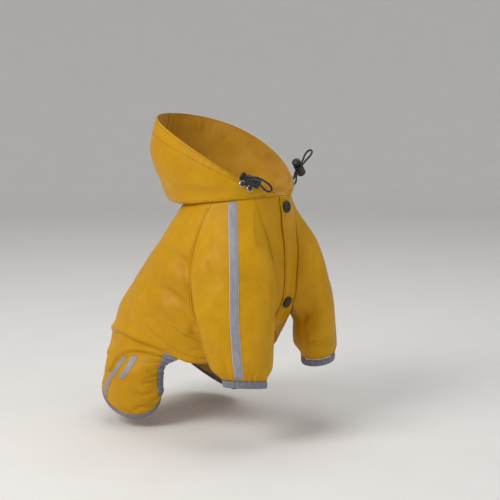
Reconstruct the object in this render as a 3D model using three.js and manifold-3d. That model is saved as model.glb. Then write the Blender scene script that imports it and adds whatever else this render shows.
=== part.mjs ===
import Module from 'manifold-3d';
import * as THREE from 'three';
import { mergeVertices } from 'three/addons/utils/BufferGeometryUtils.js';

// Dog raincoat with four legs and a hood, held in the hollow shape that it takes when worn, in millimetres.
// X runs forward to the chest, Y to the left and Z up. The origin is on the inner face of the back, over
// the withers. The tables below are measured from the middle of the neckline, and the whole is shifted last.

const WALL = 1.4;
const SEAM_GAP = 0.3;
const WIDE_GAP = 0.6;
const WAIST_GAP = 0.45;
const TRIM_WALL = 1.0;
const ELASTIC_WALL = 1.8;

// Mustard coated cloth, grey elastic, silver tape and black hardware.
const MUSTARD = new THREE.MeshStandardMaterial({ color: 0xc69400, roughness: 0.5, metalness: 0 });
const GREY = new THREE.MeshStandardMaterial({ color: 0x7d7d91, roughness: 0.85, metalness: 0 });
const SILVER = new THREE.MeshStandardMaterial({ color: 0xa5a5b4, roughness: 0.45, metalness: 0.1 });
const BLACK = new THREE.MeshStandardMaterial({ color: 0x15161a, roughness: 0.35, metalness: 0 });
const STEEL = new THREE.MeshStandardMaterial({ color: 0xb8b8bc, roughness: 0.3, metalness: 1 });

const RIGHT = -1;
const LEFT = 1;
const FULL_TURN = 360;
const sin = (degrees) => Math.sin(THREE.MathUtils.degToRad(degrees));
const cos = (degrees) => Math.cos(THREE.MathUtils.degToRad(degrees));
const lerp = THREE.MathUtils.lerp;
const smooth = (x) => THREE.MathUtils.smoothstep(x, 0, 1);
const steps = (count) => Array.from({ length: count + 1 }, (_, i) => i / count);

// The step of a finite difference along a surface's own coordinates.
const STEP = 1e-3;

// A table of sections: the first column is the key, and the others follow a curve that never overshoots.
function table(columns, rows) {
  const keys = rows.map((row) => row[0]);
  const slopes = columns.map((_, c) => slopesOf(keys, rows.map((row) => row[c])));
  return (key) => {
    const k = THREE.MathUtils.clamp(key, Math.min(...keys), Math.max(...keys));
    let i = 0;
    while (i < keys.length - 2 && (k - keys[i + 1]) * (keys[i + 1] - keys[i]) > 0) i += 1;
    const width = keys[i + 1] - keys[i];
    const f = (k - keys[i]) / width;
    const section = {};
    columns.forEach((column, c) => {
      const [p, q] = [rows[i][c], rows[i + 1][c]];
      const [m, n] = [slopes[c][i] * width, slopes[c][i + 1] * width];
      section[column] = p + f * (m + f * (3 * (q - p) - 2 * m - n + f * (2 * (p - q) + m + n)));
    });
    return section;
  };
}

function slopesOf(keys, values) {
  const run = values.slice(1).map((value, i) => (value - values[i]) / (keys[i + 1] - keys[i]));
  return values.map((_, i) => {
    if (i === 0) return run[0];
    if (i === run.length) return run[i - 1];
    const [a, b] = [run[i - 1], run[i]];
    return a * b > 0 ? (2 * a * b) / (a + b) : 0;
  });
}

// The body, from the neckline at u = 0 to the waist seam and belly hem at u = 1.
const BODY = table(
  ['u', 'backX', 'backZ', 'chestX', 'chestZ', 'half', 'round', 'sag'],
  [
    [0.0, -56, -4, 55, 7, 50, 1.0, 0],
    [0.2, -73, -30, 58, -22, 64, 0.95, 0],
    [0.4, -95, -58, 61.5, -55, 70, 0.92, 0],
    [0.6, -118, -85, 60.5, -86, 72, 0.92, 0],
    [0.8, -140, -114, 50, -111, 73, 0.95, 0.4],
    [1.0, -156, -151, 36, -127, 71, 1.0, 1],
  ],
);

// How far the hem and the waist seam hang below the ring's plane, by the angle v. Sag is the share of it.
const HEM = table(
  ['v', 'drop'],
  [
    [0, 0],
    [10, 1.7],
    [20, 6.4],
    [30, 13.4],
    [40, 21.5],
    [50, 26.3],
    [60, 24.7],
    [70, 18.4],
    [80, 11.2],
    [90, 6.5],
    [100, 1.9],
    [120, -5.7],
    [150, -3],
    [180, 0],
  ],
);

// A point of a ring round the wearer, v degrees from the chest's middle towards the given side.
function ringPoint(ring, v, side) {
  const c = Math.sign(cos(v)) * Math.abs(cos(v)) ** ring.round;
  const s = Math.sign(sin(v)) * Math.abs(sin(v)) ** ring.round;
  const x = (ring.chestX + ring.backX) / 2 + (c * (ring.chestX - ring.backX)) / 2;
  const z = (ring.chestZ + ring.backZ) / 2 + (c * (ring.chestZ - ring.backZ)) / 2;
  return new THREE.Vector3(x, side * ring.half * s, z - ring.sag * HEM(Math.abs(v)).drop);
}

const bodyPoint = (u, v, side = LEFT) => ringPoint(BODY(u), v, side);

// The armhole on the body. Its share runs from 0 at the armpit up the front seam, along the neckline
// and down the rear seam to 1 at the armpit again.
const ARMPIT = { u: 0.78, v: 45 };
const SEAM_STEPS = 12;
const NECK_STEPS = 8;
const LOOP_STEPS = 2 * SEAM_STEPS + NECK_STEPS;
const FRONT_TOP = SEAM_STEPS / LOOP_STEPS;
const REAR_TOP = 1 - FRONT_TOP;
const RAGLAN = table(
  ['down', 'front', 'rear'],
  [
    [0.0, 36, 82],
    [0.25, 19, 82],
    [0.5, 14.5, 76],
    [0.75, 18, 68],
    [1.0, ARMPIT.v, ARMPIT.v],
  ],
);
const seamU = (down) => ARMPIT.u * sin(90 * down);

function armhole(share) {
  const a = THREE.MathUtils.euclideanModulo(share, 1);
  if (a < FRONT_TOP) {
    const down = 1 - a / FRONT_TOP;
    return { u: seamU(down), v: RAGLAN(down).front };
  }
  if (a <= REAR_TOP) {
    const along = (a - FRONT_TOP) / (REAR_TOP - FRONT_TOP);
    return { u: 0, v: lerp(RAGLAN(0).front, RAGLAN(0).rear, along) };
  }
  const down = (a - REAR_TOP) / FRONT_TOP;
  return { u: seamU(down), v: RAGLAN(down).rear };
}

// Level sections of a sleeve, by height. Its long axis points SLEEVE_TURN inward, and twist turns the cloth.
// As worn, a sleeve hangs SLEEVE_DROP lower than its sections, so their heights are stretched to it.
const SLEEVE = table(
  ['z', 'x', 'y', 'long', 'short', 'twist'],
  [
    [0, 26, 40, 28, 14, 0],
    [-28, 33, 48, 33.5, 16.5, 0],
    [-60, 40, 56, 42, 18.6, 0],
    [-108, 48.5, 63.5, 36.5, 19, 2],
    [-148, 52.4, 61.2, 29.6, 21.7, 5],
    [-160, 56.2, 60.8, 21.4, 17, 12],
    [-167, 56.6, 60.8, 20.8, 16.6, 14],
  ],
);
const SLEEVE_TURN = 38;
const SLEEVE_END = -160;
const CUFF_END = -167;
const SLEEVE_DROP = { [RIGHT]: 5, [LEFT]: 0 };
const CUFF_RISE = 3;
const NECK_REACH = 50;
const ARMPIT_REACH = 12;
const FRONT_ANGLE = 55;
const ARMPIT_ANGLE = -90;
const SLEEVE_ROWS = [0, 0.06, 0.15, 0.28, 0.42, 0.56, 0.7, 0.82, 0.91, 1];

// Gathers: every second column of a sleeve or leg sinks by this much just above the elastic.
const GATHER_DEPTH = 1.4;
const GATHER_FROM = 0.8;
const CUFF_GATHER = 0.35;
const CUFF_FADE = 0.15;
const gathered = (t, a, count) => {
  const above = smooth((t - GATHER_FROM) / (1 - GATHER_FROM));
  const fade = t <= 1 ? above : lerp(1, CUFF_GATHER, Math.min((t - 1) / CUFF_FADE, 1));
  return -GATHER_DEPTH * fade * (0.5 - 0.5 * Math.cos(2 * Math.PI * count * a));
};

function sleeveAngle(share) {
  const a = THREE.MathUtils.euclideanModulo(share, 1);
  if (a < FRONT_TOP) return lerp(ARMPIT_ANGLE, FRONT_ANGLE, a / FRONT_TOP);
  if (a <= REAR_TOP) {
    return lerp(FRONT_ANGLE, 180 - FRONT_ANGLE, (a - FRONT_TOP) / (REAR_TOP - FRONT_TOP));
  }
  return lerp(180 - FRONT_ANGLE, ARMPIT_ANGLE + FULL_TURN, (a - REAR_TOP) / FRONT_TOP);
}

// The sleeve's outer surface: t runs from the armhole at 0 to the cuff seam at 1 and the cuff's edge at 2.
function sleevePoint(a, t, side) {
  const angle = sleeveAngle(a);
  const start = armhole(a);
  const top = bodyPoint(start.u, start.v, side);
  const rise = CUFF_RISE * sin(angle);
  const end = SLEEVE_END - SLEEVE_DROP[side] + rise;
  const z = t <= 1 ? lerp(top.z, end, t) : lerp(end, end + CUFF_END - SLEEVE_END, t - 1);
  const armpitZ = bodyPoint(ARMPIT.u, ARMPIT.v, side).z;
  const reach = lerp(NECK_REACH, ARMPIT_REACH, THREE.MathUtils.clamp(top.z / armpitZ, 0, 1));
  const near = 1 - Math.min((top.z - z) / reach, 1);
  const section = SLEEVE((z * SLEEVE_END) / (SLEEVE_END - SLEEVE_DROP[side]));
  const wave = gathered(t, a, LOOP_STEPS / 2);
  const long = (section.long + wave) * cos(angle + section.twist);
  const short = (section.short + wave) * sin(angle + section.twist);
  const x = section.x + long * cos(SLEEVE_TURN) + short * sin(SLEEVE_TURN);
  const y = section.y - long * sin(SLEEVE_TURN) + short * cos(SLEEVE_TURN);
  const free = 1 - near ** 2;
  return new THREE.Vector3(lerp(top.x, x, free), lerp(top.y, side * y, free), z);
}

// A trouser leg. Its share a runs from 0 at the front edge, back along the waist seam to the middle of the
// back, and down the centre back seam to 1 at the crotch. t runs from those seams to the hind cuff at 1.
const V_STEP = 7.5;
const WAIST_FRONT_V = 67.5;
const WAIST_STEPS = (180 - WAIST_FRONT_V) / V_STEP;
const BACK_SEAM_STEPS = 9;
const LEG_STEPS = WAIST_STEPS + BACK_SEAM_STEPS;
const WAIST_SHARE = WAIST_STEPS / LEG_STEPS;
const CROTCH = { x: -120, z: -182 };
const BACK_SEAM_CURVE = 1.7;
const LEG = table(
  ['t', 'x', 'y', 'z', 'long', 'wide', 'droop', 'first', 'last'],
  [
    [0.5, -85, 59, -168, 37, 27, 10, 0, 265],
    [0.8, -88, 61, -186, 37.5, 25, 17, -8, 285],
    [1.0, -91, 62, -196, 37, 22, 20, -52, 308],
    [1.15, -91, 62, -200.5, 35.5, 20.5, 20, -52, 308],
  ],
);
const LEG_TOP = 0.5;
const RUMP = 2.5;
const RUMP_FROM = 0.2;
const RUMP_FULL = 0.55;
const HIND_CUFF_END = 1.15;
const DROOP_AT = 60;
const LEG_ROWS = [0, 0.1, 0.2, 0.3, 0.4, 0.5, 0.6, 0.7, 0.8, 0.87, 0.94, 1];

function waistPoint(a, side) {
  if (a <= WAIST_SHARE) return bodyPoint(1, lerp(WAIST_FRONT_V, 180, a / WAIST_SHARE), side);
  const down = (a - WAIST_SHARE) / (1 - WAIST_SHARE);
  const top = bodyPoint(1, 180, side);
  const x = lerp(top.x, CROTCH.x, down ** BACK_SEAM_CURVE);
  return new THREE.Vector3(x, 0, lerp(top.z, CROTCH.z, down));
}

function legSection(t, a, side) {
  const s = LEG(t);
  const wave = gathered(t, a, LEG_STEPS / 2);
  const angle = lerp(s.first, s.last, a);
  const x = s.x + (s.long + wave) * cos(angle);
  const y = s.y + (s.wide + wave) * sin(angle);
  return new THREE.Vector3(x, side * y, s.z - s.droop * cos(angle - DROOP_AT));
}

// Above the thigh section the cloth follows a smooth curve up to the waist and centre back seams.
function legPoint(a, t, side) {
  if (t >= LEG_TOP) return legSection(t, a, side);
  const top = waistPoint(a, side);
  const low = legSection(LEG_TOP, a, side);
  const f = t / LEG_TOP;
  const fall = legSection(LEG_TOP + STEP, a, side).sub(low).multiplyScalar(LEG_TOP / STEP);
  const chord = low.clone().sub(top);
  const curve = top.clone().addScaledVector(chord, f).addScaledVector(fall.sub(chord), -f * f * (1 - f));
  const rear = smooth((a - RUMP_FROM) / (RUMP_FULL - RUMP_FROM)) * smooth((1 - a) / (1 - RUMP_FULL));
  curve.x -= RUMP * rear * 4 * f * (1 - f);
  return curve;
}

// The hood, pushed back off the head: rings from the neckline at 0 to the rim at 1.
const HOOD = table(
  ['h', 'backX', 'backZ', 'chestX', 'chestZ', 'half', 'lift'],
  [
    [0.0, -56, -4, 55, 7, 50, 0],
    [0.15, -73, -3.5, 56.5, 8, 53.5, 1],
    [0.45, -90, 22, 56.5, 9, 60, 3],
    [0.7, -99, 52, 56, 9.8, 63, 6],
    [1.0, -91, 86, 55.5, 10, 60, 10],
  ],
);
const HOOD_FRONT_V = 9;
const HOOD_ROWS = [0, 0.08, 0.15, 0.3, 0.45, 0.7, 0.86, 1];
const HOOD_STEPS = 18;

function hoodPoint(h, v, side) {
  const ring = HOOD(h);
  const point = ringPoint({ ...ring, round: 1, sag: 0 }, v, side);
  point.z += ring.lift * sin(v) ** 2;
  return point;
}

// A surface's unit normal, turned away from a point inside the coat that is given for one of its points.
function normals(surface, atS, atT, inside) {
  const cross = (s, t) => {
    const along = surface(s + STEP, t).sub(surface(s - STEP, t));
    const down = surface(s, t + STEP).sub(surface(s, t - STEP));
    return along.cross(down).normalize();
  };
  const sign = Math.sign(cross(atS, atT).dot(surface(atS, atT).sub(inside)));
  return (s, t) => cross(s, t).multiplyScalar(sign);
}

const inBody = new THREE.Vector3(-20, 0, -60);
const inHood = new THREE.Vector3(-20, 0, 40);
const bodyNormal = {};
const sleeveNormal = {};
const legNormal = {};
const hoodNormal = {};
for (const side of [RIGHT, LEFT]) {
  bodyNormal[side] = normals((u, v) => bodyPoint(u, v, side), 0.4, 90, inBody);
  const inSleeve = new THREE.Vector3(50, side * 62, -130);
  sleeveNormal[side] = normals((a, t) => sleevePoint(a, t, side), 0.5, 0.7, inSleeve);
  const inLeg = new THREE.Vector3(-86, side * 60, -180);
  legNormal[side] = normals((a, t) => legPoint(a, t, side), 0.4, 0.7, inLeg);
  hoodNormal[side] = normals((h, v) => hoodPoint(h, v, side), 0.7, 120, inHood);
}

// Where two surfaces meet at a seam, both walls end on the plane midway between them. The vector points
// into the wall, and its length is the factor by which the slant lengthens the wall there.
const MOST_SLANT = 1.6;
function mitre(one, other) {
  const middle = one.clone().add(other).normalize();
  return middle.multiplyScalar(-Math.min(1 / middle.dot(one), MOST_SLANT));
}

const neckSeam = (v, side) => mitre(bodyNormal[side](STEP, v), hoodNormal[side](STEP, v));
const armSeam = (a, side) => {
  const { u, v } = armhole(a);
  return mitre(bodyNormal[side](u, v), sleeveNormal[side](a, STEP));
};
const waistSeam = (a, side) => mitre(
  bodyNormal[side](1 - STEP, lerp(WAIST_FRONT_V, 180, a / WAIST_SHARE)),
  legNormal[side](Math.max(a, STEP), STEP),
);
const cuffSeam = (normal, a) => mitre(normal(a, 1 - 2 * STEP), normal(a, 1 + 2 * STEP));
const backSeam = (a, side) => {
  const normal = legNormal[side](Math.min(a, 1 - STEP), 2 * STEP);
  return mitre(normal, normal.clone().multiply(new THREE.Vector3(1, -1, 1)));
};

// A wall from a grid of outer points and a grid of vectors into it. Each border named in seams is drawn
// back by half of the seam gap, more where the seam is slanted.
function wallGeometry(points, inward, options) {
  const { wall = WALL, lift = 0, wrap = false, seams = '', gap = SEAM_GAP } = options;
  const moved = (by) => points.map((row, i) => (
    row.map((point, j) => point.clone().addScaledVector(inward[i][j], by))
  ));
  const outer = moved(-lift);
  const inner = moved(wall - lift);
  const last = points.length - 1;
  const end = points[0].length - 1;
  const border = {
    top: points[0].map((_, j) => [0, j, 1, j]),
    bottom: points[0].map((_, j) => [last, j, last - 1, j]),
    start: points.map((_, i) => [i, 0, i, 1]),
    end: points.map((_, i) => [i, end, i, end - 1]),
  };
  const drawBack = (grid, line) => line.map(([i, j, k, l], n) => {
    const before = line[Math.max(n - 1, 0)];
    const after = line[Math.min(n + 1, line.length - 1)];
    const along = grid[after[0]][after[1]].clone().sub(grid[before[0]][before[1]]);
    const away = grid[k][l].clone().sub(grid[i][j]);
    away.addScaledVector(along, -away.dot(along) / along.lengthSq());
    return [i, j, away.setLength((gap / 2) * inward[i][j].length())];
  });
  for (const grid of [outer, inner]) {
    const shifts = seams.split(' ').filter(Boolean).flatMap((name) => drawBack(grid, border[name]));
    shifts.forEach(([i, j, shift]) => grid[i][j].add(shift));
  }
  const columns = end + 1;
  const base = points.length * columns;
  const at = (i, j) => i * columns + (j % columns);
  const faces = [];
  const quad = (a, b, c, d) => faces.push(a, b, c, a, c, d);
  const across = wrap ? columns : end;
  for (let i = 0; i < last; i += 1) {
    for (let j = 0; j < across; j += 1) {
      quad(at(i, j), at(i + 1, j), at(i + 1, j + 1), at(i, j + 1));
      quad(base + at(i, j), base + at(i, j + 1), base + at(i + 1, j + 1), base + at(i + 1, j));
    }
  }
  for (let j = 0; j < across; j += 1) {
    quad(at(0, j), at(0, j + 1), base + at(0, j + 1), base + at(0, j));
    quad(at(last, j + 1), at(last, j), base + at(last, j), base + at(last, j + 1));
  }
  for (let i = 0; i < last && !wrap; i += 1) {
    quad(at(i + 1, 0), at(i, 0), base + at(i, 0), base + at(i + 1, 0));
    quad(at(i + 1, end), base + at(i + 1, end), base + at(i, end), at(i, end));
  }
  return outwards([...outer.flat(), ...inner.flat()], faces);
}

function outwards(points, faces) {
  let volume = 0;
  for (let i = 0; i < faces.length; i += 3) {
    const [a, b, c] = [points[faces[i]], points[faces[i + 1]], points[faces[i + 2]]];
    volume += a.dot(b.clone().cross(c));
  }
  const geometry = new THREE.BufferGeometry().setFromPoints(points);
  geometry.setIndex(volume < 0 ? faces.reverse() : faces);
  return geometry;
}

const coat = new THREE.Group();
function piece(name, geometry, material) {
  const mesh = new THREE.Mesh(geometry, material);
  mesh.name = name;
  coat.add(mesh);
  return mesh;
}
const sideName = (side) => (side === RIGHT ? 'right' : 'left');

// The body panels. Their rows stop at the seam's steps, so that both sides of every seam share its points.
const SEAM_SHARES = steps(SEAM_STEPS);
const LOWER_ROWS = [0.795, 0.84, 0.9, 0.95, 1];
const BODY_ROWS = [...SEAM_SHARES.map(seamU), ...LOWER_ROWS];
const frontShare = (i) => FRONT_TOP * (1 - SEAM_SHARES[i]);
const rearShare = (i) => REAR_TOP + FRONT_TOP * SEAM_SHARES[i];

function bodyInward(i, u, v, side, edgeShare) {
  if (i === 0) return neckSeam(v, side);
  if (edgeShare !== null) return armSeam(edgeShare, side);
  if (u === 1 && v >= WAIST_FRONT_V) {
    return waistSeam((WAIST_SHARE * (v - WAIST_FRONT_V)) / (180 - WAIST_FRONT_V), side);
  }
  return bodyNormal[side](THREE.MathUtils.clamp(u, STEP, 1 - STEP), v).negate();
}

const BACK_HALF_STEPS = (180 - ARMPIT.v) / V_STEP;
function backPanel() {
  const points = [];
  const inward = [];
  BODY_ROWS.forEach((u, i) => {
    const onSeam = i <= SEAM_STEPS;
    const edge = onSeam ? RAGLAN(SEAM_SHARES[i]).rear : ARMPIT.v;
    const half = (side) => steps(BACK_HALF_STEPS).map((s, j) => {
      const v = lerp(edge, 180, s);
      const share = onSeam && j === 0 ? rearShare(i) : null;
      return [bodyPoint(u, v, side), bodyInward(i, u, v, side, share)];
    });
    const row = [...half(RIGHT), ...half(LEFT).reverse().slice(1)];
    points.push(row.map(([point]) => point));
    inward.push(row.map(([, vector]) => vector));
  });
  return wallGeometry(points, inward, { seams: 'top bottom start end' });
}

// The fronts meet under the placket, whose free edge lies to the right of the chest's middle.
const PLACKET = { from: -5, to: 12, snaps: 3 };
const FRONT_LAP = 9;
const FRONT_COLUMNS = 6;
const angleAcross = (u, mm) => mm / bodyPoint(u, 0.5).distanceTo(bodyPoint(u, -0.5));

function frontPanel(side) {
  const reachPast = side === RIGHT ? FRONT_LAP : -FRONT_LAP;
  const points = [];
  const inward = [];
  BODY_ROWS.forEach((u, i) => {
    const onSeam = i <= SEAM_STEPS;
    const edge = onSeam ? RAGLAN(SEAM_SHARES[i]).front : ARMPIT.v;
    const row = steps(FRONT_COLUMNS).map((s, j) => {
      const v = lerp(edge, -angleAcross(u, reachPast), s);
      const share = onSeam && j === 0 ? frontShare(i) : null;
      return [bodyPoint(u, v, side), bodyInward(i, u, v, side, share)];
    });
    points.push(row.map(([point]) => point));
    inward.push(row.map(([, vector]) => vector));
  });
  return wallGeometry(points, inward, { seams: 'top start end' });
}

// The placket is a flat band on the fronts, lifted clear of the walls under it.
const BAND_COLUMNS = 4;
const PLACKET_END = 0.975;
function placket() {
  const rows = BODY_ROWS.slice(0, -1).concat(PLACKET_END);
  const shares = steps(BAND_COLUMNS);
  const lines = rows.map((u) => shares.map((s) => angleAcross(u, lerp(PLACKET.from, PLACKET.to, s))));
  const points = rows.map((u, i) => lines[i].map((v) => bodyPoint(u, v)));
  const inward = rows.map((u, i) => lines[i].map((v) => (
    bodyNormal[LEFT](THREE.MathUtils.clamp(u, STEP, 1 - STEP), v).negate()
  )));
  return wallGeometry(points, inward, { wall: TRIM_WALL, lift: SEAM_GAP + TRIM_WALL, seams: 'top' });
}

function sleeveGrid(side, rows) {
  const shares = steps(LOOP_STEPS).slice(0, -1);
  const points = rows.map((t) => shares.map((a) => sleevePoint(a, t, side)));
  const inward = rows.map((t) => shares.map((a) => {
    if (t === 1) return cuffSeam(sleeveNormal[side], a);
    if (t > 0) return sleeveNormal[side](a, Math.min(t, 2 - STEP)).negate();
    const { u, v } = armhole(a);
    return u === 0 ? neckSeam(v, side) : armSeam(a, side);
  }));
  return [points, inward];
}

// Reflective tape down the outer face of each sleeve, from seam to seam.
const TAPE_WALL = 0.6;
const SLEEVE_TAPE = { width: 9, from: 0.015, to: 0.985, share: 0.5, rows: 16 };
const NEAR = 0.005;

function tapeOnSleeve(side) {
  const { width, from, to, share, rows: count } = SLEEVE_TAPE;
  const rows = steps(count).map((s) => lerp(from, to, s));
  const across = (t) => sleevePoint(share + NEAR, t, side).distanceTo(sleevePoint(share - NEAR, t, side));
  const half = (t) => (width * NEAR) / across(t);
  const shares = rows.map((t) => [-1, 0, 1].map((s) => share + s * half(t)));
  const points = rows.map((t, i) => shares[i].map((a) => sleevePoint(a, t, side)));
  const inward = rows.map((t, i) => shares[i].map((a) => sleeveNormal[side](a, t).negate()));
  return wallGeometry(points, inward, { wall: TAPE_WALL, lift: SEAM_GAP + TAPE_WALL });
}

// The trouser legs, with an elastic binding round the opening in front of each thigh.
// Near the cuff each opening closes, and its binding narrows to a sliver there.
const BINDING = { width: 8, top: 16, topEnds: 0.3, most: 0.16, sliver: 0.012, closing: 0.72, closed: 0.96 };
const EDGE = 0.02;
const bindingShare = (t, fromFront) => {
  const { width, top, topEnds, most, sliver, closing, closed } = BINDING;
  const [a, b] = fromFront ? [0, EDGE] : [1 - EDGE, 1];
  const speed = legPoint(b, t, RIGHT).distanceTo(legPoint(a, t, RIGHT)) / EDGE;
  const wide = fromFront ? lerp(top, width, smooth(t / topEnds)) : width;
  return lerp(Math.min(wide / speed, most), sliver, smooth((t - closing) / (closed - closing)));
};

function legInward(a, t, side) {
  if (t === 0 && a <= WAIST_SHARE) return waistSeam(a, side);
  if (t === 0) return backSeam(a, side);
  const s = THREE.MathUtils.clamp(a, STEP, 1 - STEP);
  if (t === 1) return cuffSeam(legNormal[side], s);
  return legNormal[side](s, Math.min(t, HIND_CUFF_END - STEP)).negate();
}

function legGrid(side, rows, share) {
  const points = rows.map((t, i) => share(t).map((a) => legPoint(a, t, side)));
  const inward = rows.map((t, i) => share(t).map((a) => legInward(a, t, side)));
  return [points, inward];
}

function trouser(side) {
  const share = (t) => {
    const [front, rear] = [bindingShare(t, true), bindingShare(t, false)];
    return steps(LEG_STEPS).map((a) => lerp(front, 1 - rear, a));
  };
  const [points, inward] = legGrid(side, LEG_ROWS, share);
  return wallGeometry(points, inward, { seams: 'top bottom start end', gap: WAIST_GAP });
}

// The binding strips run from the hem or the crotch down to where the opening closes above the cuff.
function legBinding(side, fromFront) {
  const share = (t) => {
    const width = bindingShare(t, fromFront);
    return steps(2).map((s) => (fromFront ? s * width : 1 - s * width));
  };
  const [points, inward] = legGrid(side, LEG_ROWS, share);
  return wallGeometry(points, inward, { wall: ELASTIC_WALL, seams: 'top bottom end', gap: WIDE_GAP });
}

// A closed cuff of elastic continues a sleeve or a leg.
function cuff(points, inward) {
  return wallGeometry(points, inward, { wall: ELASTIC_WALL, wrap: true, seams: 'top', gap: WIDE_GAP });
}

function hindCuff(side) {
  const shares = steps(LEG_STEPS).slice(0, -1);
  const [points, inward] = legGrid(side, [1, HIND_CUFF_END], () => shares);
  return cuff(points, inward);
}

function hoodHalf(side) {
  const angles = steps(HOOD_STEPS).map((s) => lerp(HOOD_FRONT_V, 180, s));
  const points = HOOD_ROWS.map((h) => angles.map((v) => hoodPoint(h, v, side)));
  const inward = HOOD_ROWS.map((h, i) => angles.map((v) => {
    if (i === 0) return neckSeam(v, side);
    return hoodNormal[side](Math.min(h, 1 - STEP), v).negate();
  }));
  return wallGeometry(points, inward, { seams: 'top end' });
}

// Reflective tapes slant down the back of each thigh. Their middle lines are tabled by t.
const LEG_TAPE = 7;
const LEG_TAPE_STEPS = 10;
const LONG_TAPE = { from: 0.25, to: 0.95 };
const SHORT_TAPE = { from: 0.2, to: 0.52 };
LONG_TAPE.path = table(['t', 'a'], [[0.25, 0.28], [0.4, 0.355], [0.6, 0.42], [0.75, 0.437], [0.95, 0.475]]);
SHORT_TAPE.path = table(['t', 'a'], [[0.2, 0.2], [0.36, 0.262], [0.52, 0.325]]);

function legTape(side, { from, to, path }) {
  const rows = steps(LEG_TAPE_STEPS).map((s) => lerp(from, to, s)).map((t) => [path(t).a, t]);
  const across = (a, t) => legPoint(a + NEAR, t, side).distanceTo(legPoint(a - NEAR, t, side));
  const half = (a, t) => (LEG_TAPE * NEAR) / across(a, t);
  const line = (f) => rows.map(([a, t]) => [-1, 0, 1].map((s) => f(a + s * half(a, t), t)));
  const points = line((a, t) => legPoint(a, t, side));
  const inward = line((a, t) => legNormal[side](a, t).negate());
  return wallGeometry(points, inward, { wall: TAPE_WALL, lift: SEAM_GAP + TAPE_WALL });
}

piece('back_panel', backPanel(), MUSTARD);
piece('placket', placket(), MUSTARD);
for (const side of [RIGHT, LEFT]) {
  const name = sideName(side);
  piece(`front_${name}`, frontPanel(side), MUSTARD);
  const [sleeve, sleeveIn] = sleeveGrid(side, SLEEVE_ROWS);
  piece(`sleeve_${name}`, wallGeometry(sleeve, sleeveIn, { wrap: true, seams: 'top bottom' }), MUSTARD);
  piece(`sleeve_cuff_${name}`, cuff(...sleeveGrid(side, [1, 2])), GREY);
  piece(`sleeve_tape_${name}`, tapeOnSleeve(side), SILVER);
  piece(`trouser_${name}`, trouser(side), MUSTARD);
  piece(`leg_binding_${name}`, legBinding(side, true), GREY);
  piece(`thigh_binding_${name}`, legBinding(side, false), GREY);
  piece(`hind_cuff_${name}`, hindCuff(side), GREY);
  piece(`hood_${name}`, hoodHalf(side), MUSTARD);
  piece(`leg_tape_long_${name}`, legTape(side, LONG_TAPE), SILVER);
  piece(`leg_tape_short_${name}`, legTape(side, SHORT_TAPE), SILVER);
}

// Round hardware is turned about its own X axis, from a profile of radius and place along the axis.
const ROUND_STEPS = 20;
function turned(profile) {
  const lathe = new THREE.LatheGeometry(profile.map(([r, x]) => new THREE.Vector2(r, x)), ROUND_STEPS);
  return lathe.rotateZ(-Math.PI / 2);
}

function seated(mesh, origin, x, z) {
  const y = z.clone().cross(x).normalize();
  const upright = x.clone().cross(y).normalize();
  mesh.applyMatrix4(new THREE.Matrix4().makeBasis(x.clone().normalize(), y, upright).setPosition(origin));
  return mesh;
}

// Snap caps on the placket, with a dished top.
const SNAP = { radius: 6, side: 1.26, height: 2.1, rim: 5.1, rimEnds: 4.1, dish: 3.7, floor: 1.6 };
const SNAP_ROWS = [0.075, 0.68];
const SNAP_SEAT = 2 * SEAM_GAP + TRIM_WALL + 0.1;
SNAP_ROWS.forEach((u, i) => {
  const { radius, height, rim, rimEnds, dish, floor } = SNAP;
  const profile = [[0, 0], [radius, 0], [radius, SNAP.side], [rim, height], [rimEnds, height], [dish, floor]];
  const v = angleAcross(u, PLACKET.snaps);
  const normal = bodyNormal[LEFT](u, v);
  const place = bodyPoint(u, v).addScaledVector(normal, SNAP_SEAT);
  const cap = piece(`snap_${i + 1}`, turned([...profile, [0, floor]]), BLACK);
  seated(cap, place, normal, new THREE.Vector3(0, 1, 0));
});

// Two eyelets on each side of the hood, near its front edge, let the elastic cord out.
const EYELETS = [{ h: 0.84, v: 40.5 }, { h: 0.72, v: 34 }];
const EYELET = { radius: 3.4, top: 2.9, hole: 1.7, height: 0.9, seat: 0.4 };
const CORD = 2;
const eyeletAt = ({ h, v }, side) => [hoodPoint(h, v, side), hoodNormal[side](h, v)];

// The lock: a barrel on the cord, with a plunger that its spring pushes out. X runs from knob to barrel end.
const BARREL = { radius: 4.6, bore: 3.6, from: -7, to: 7, bottom: 4.4, chamfer: 1.6, face: 3.2 };
const PLUNGER = { radius: 3.3, knob: 4.4, face: 3.3, chamfer: 1.2, from: -13.6, neck: -9.8, to: 1.6 };
const TRAVEL = 2.5;
const CORD_X = -2.2;
const STRAND_Y = 1.15;
const STRAND_Z = [-6.4, 0, 5.4];
const CORD_ROOM = 0.5;
const SLOT_HALF_Y = STRAND_Y + CORD / 2 + CORD_ROOM;

const wasm = await Module();
wasm.setup();

function solid(geometry) {
  const bare = geometry.clone();
  bare.deleteAttribute('normal');
  bare.deleteAttribute('uv');
  const merged = mergeVertices(bare, 1e-4);
  const vertProperties = new Float32Array(merged.attributes.position.array);
  const triVerts = new Uint32Array(merged.index.array);
  return new wasm.Manifold(new wasm.Mesh({ numProp: 3, vertProperties, triVerts }));
}

function slotted(geometry, fromX, toX) {
  const slot = new THREE.BoxGeometry(toX - fromX, 2 * SLOT_HALF_Y, 4 * BARREL.radius);
  slot.translate((fromX + toX) / 2, 0, 0);
  const mesh = solid(geometry).subtract(solid(slot)).getMesh();
  const cut = new THREE.BufferGeometry();
  cut.setAttribute('position', new THREE.BufferAttribute(mesh.vertProperties, 3));
  cut.setIndex([...mesh.triVerts]);
  return cut;
}

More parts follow.
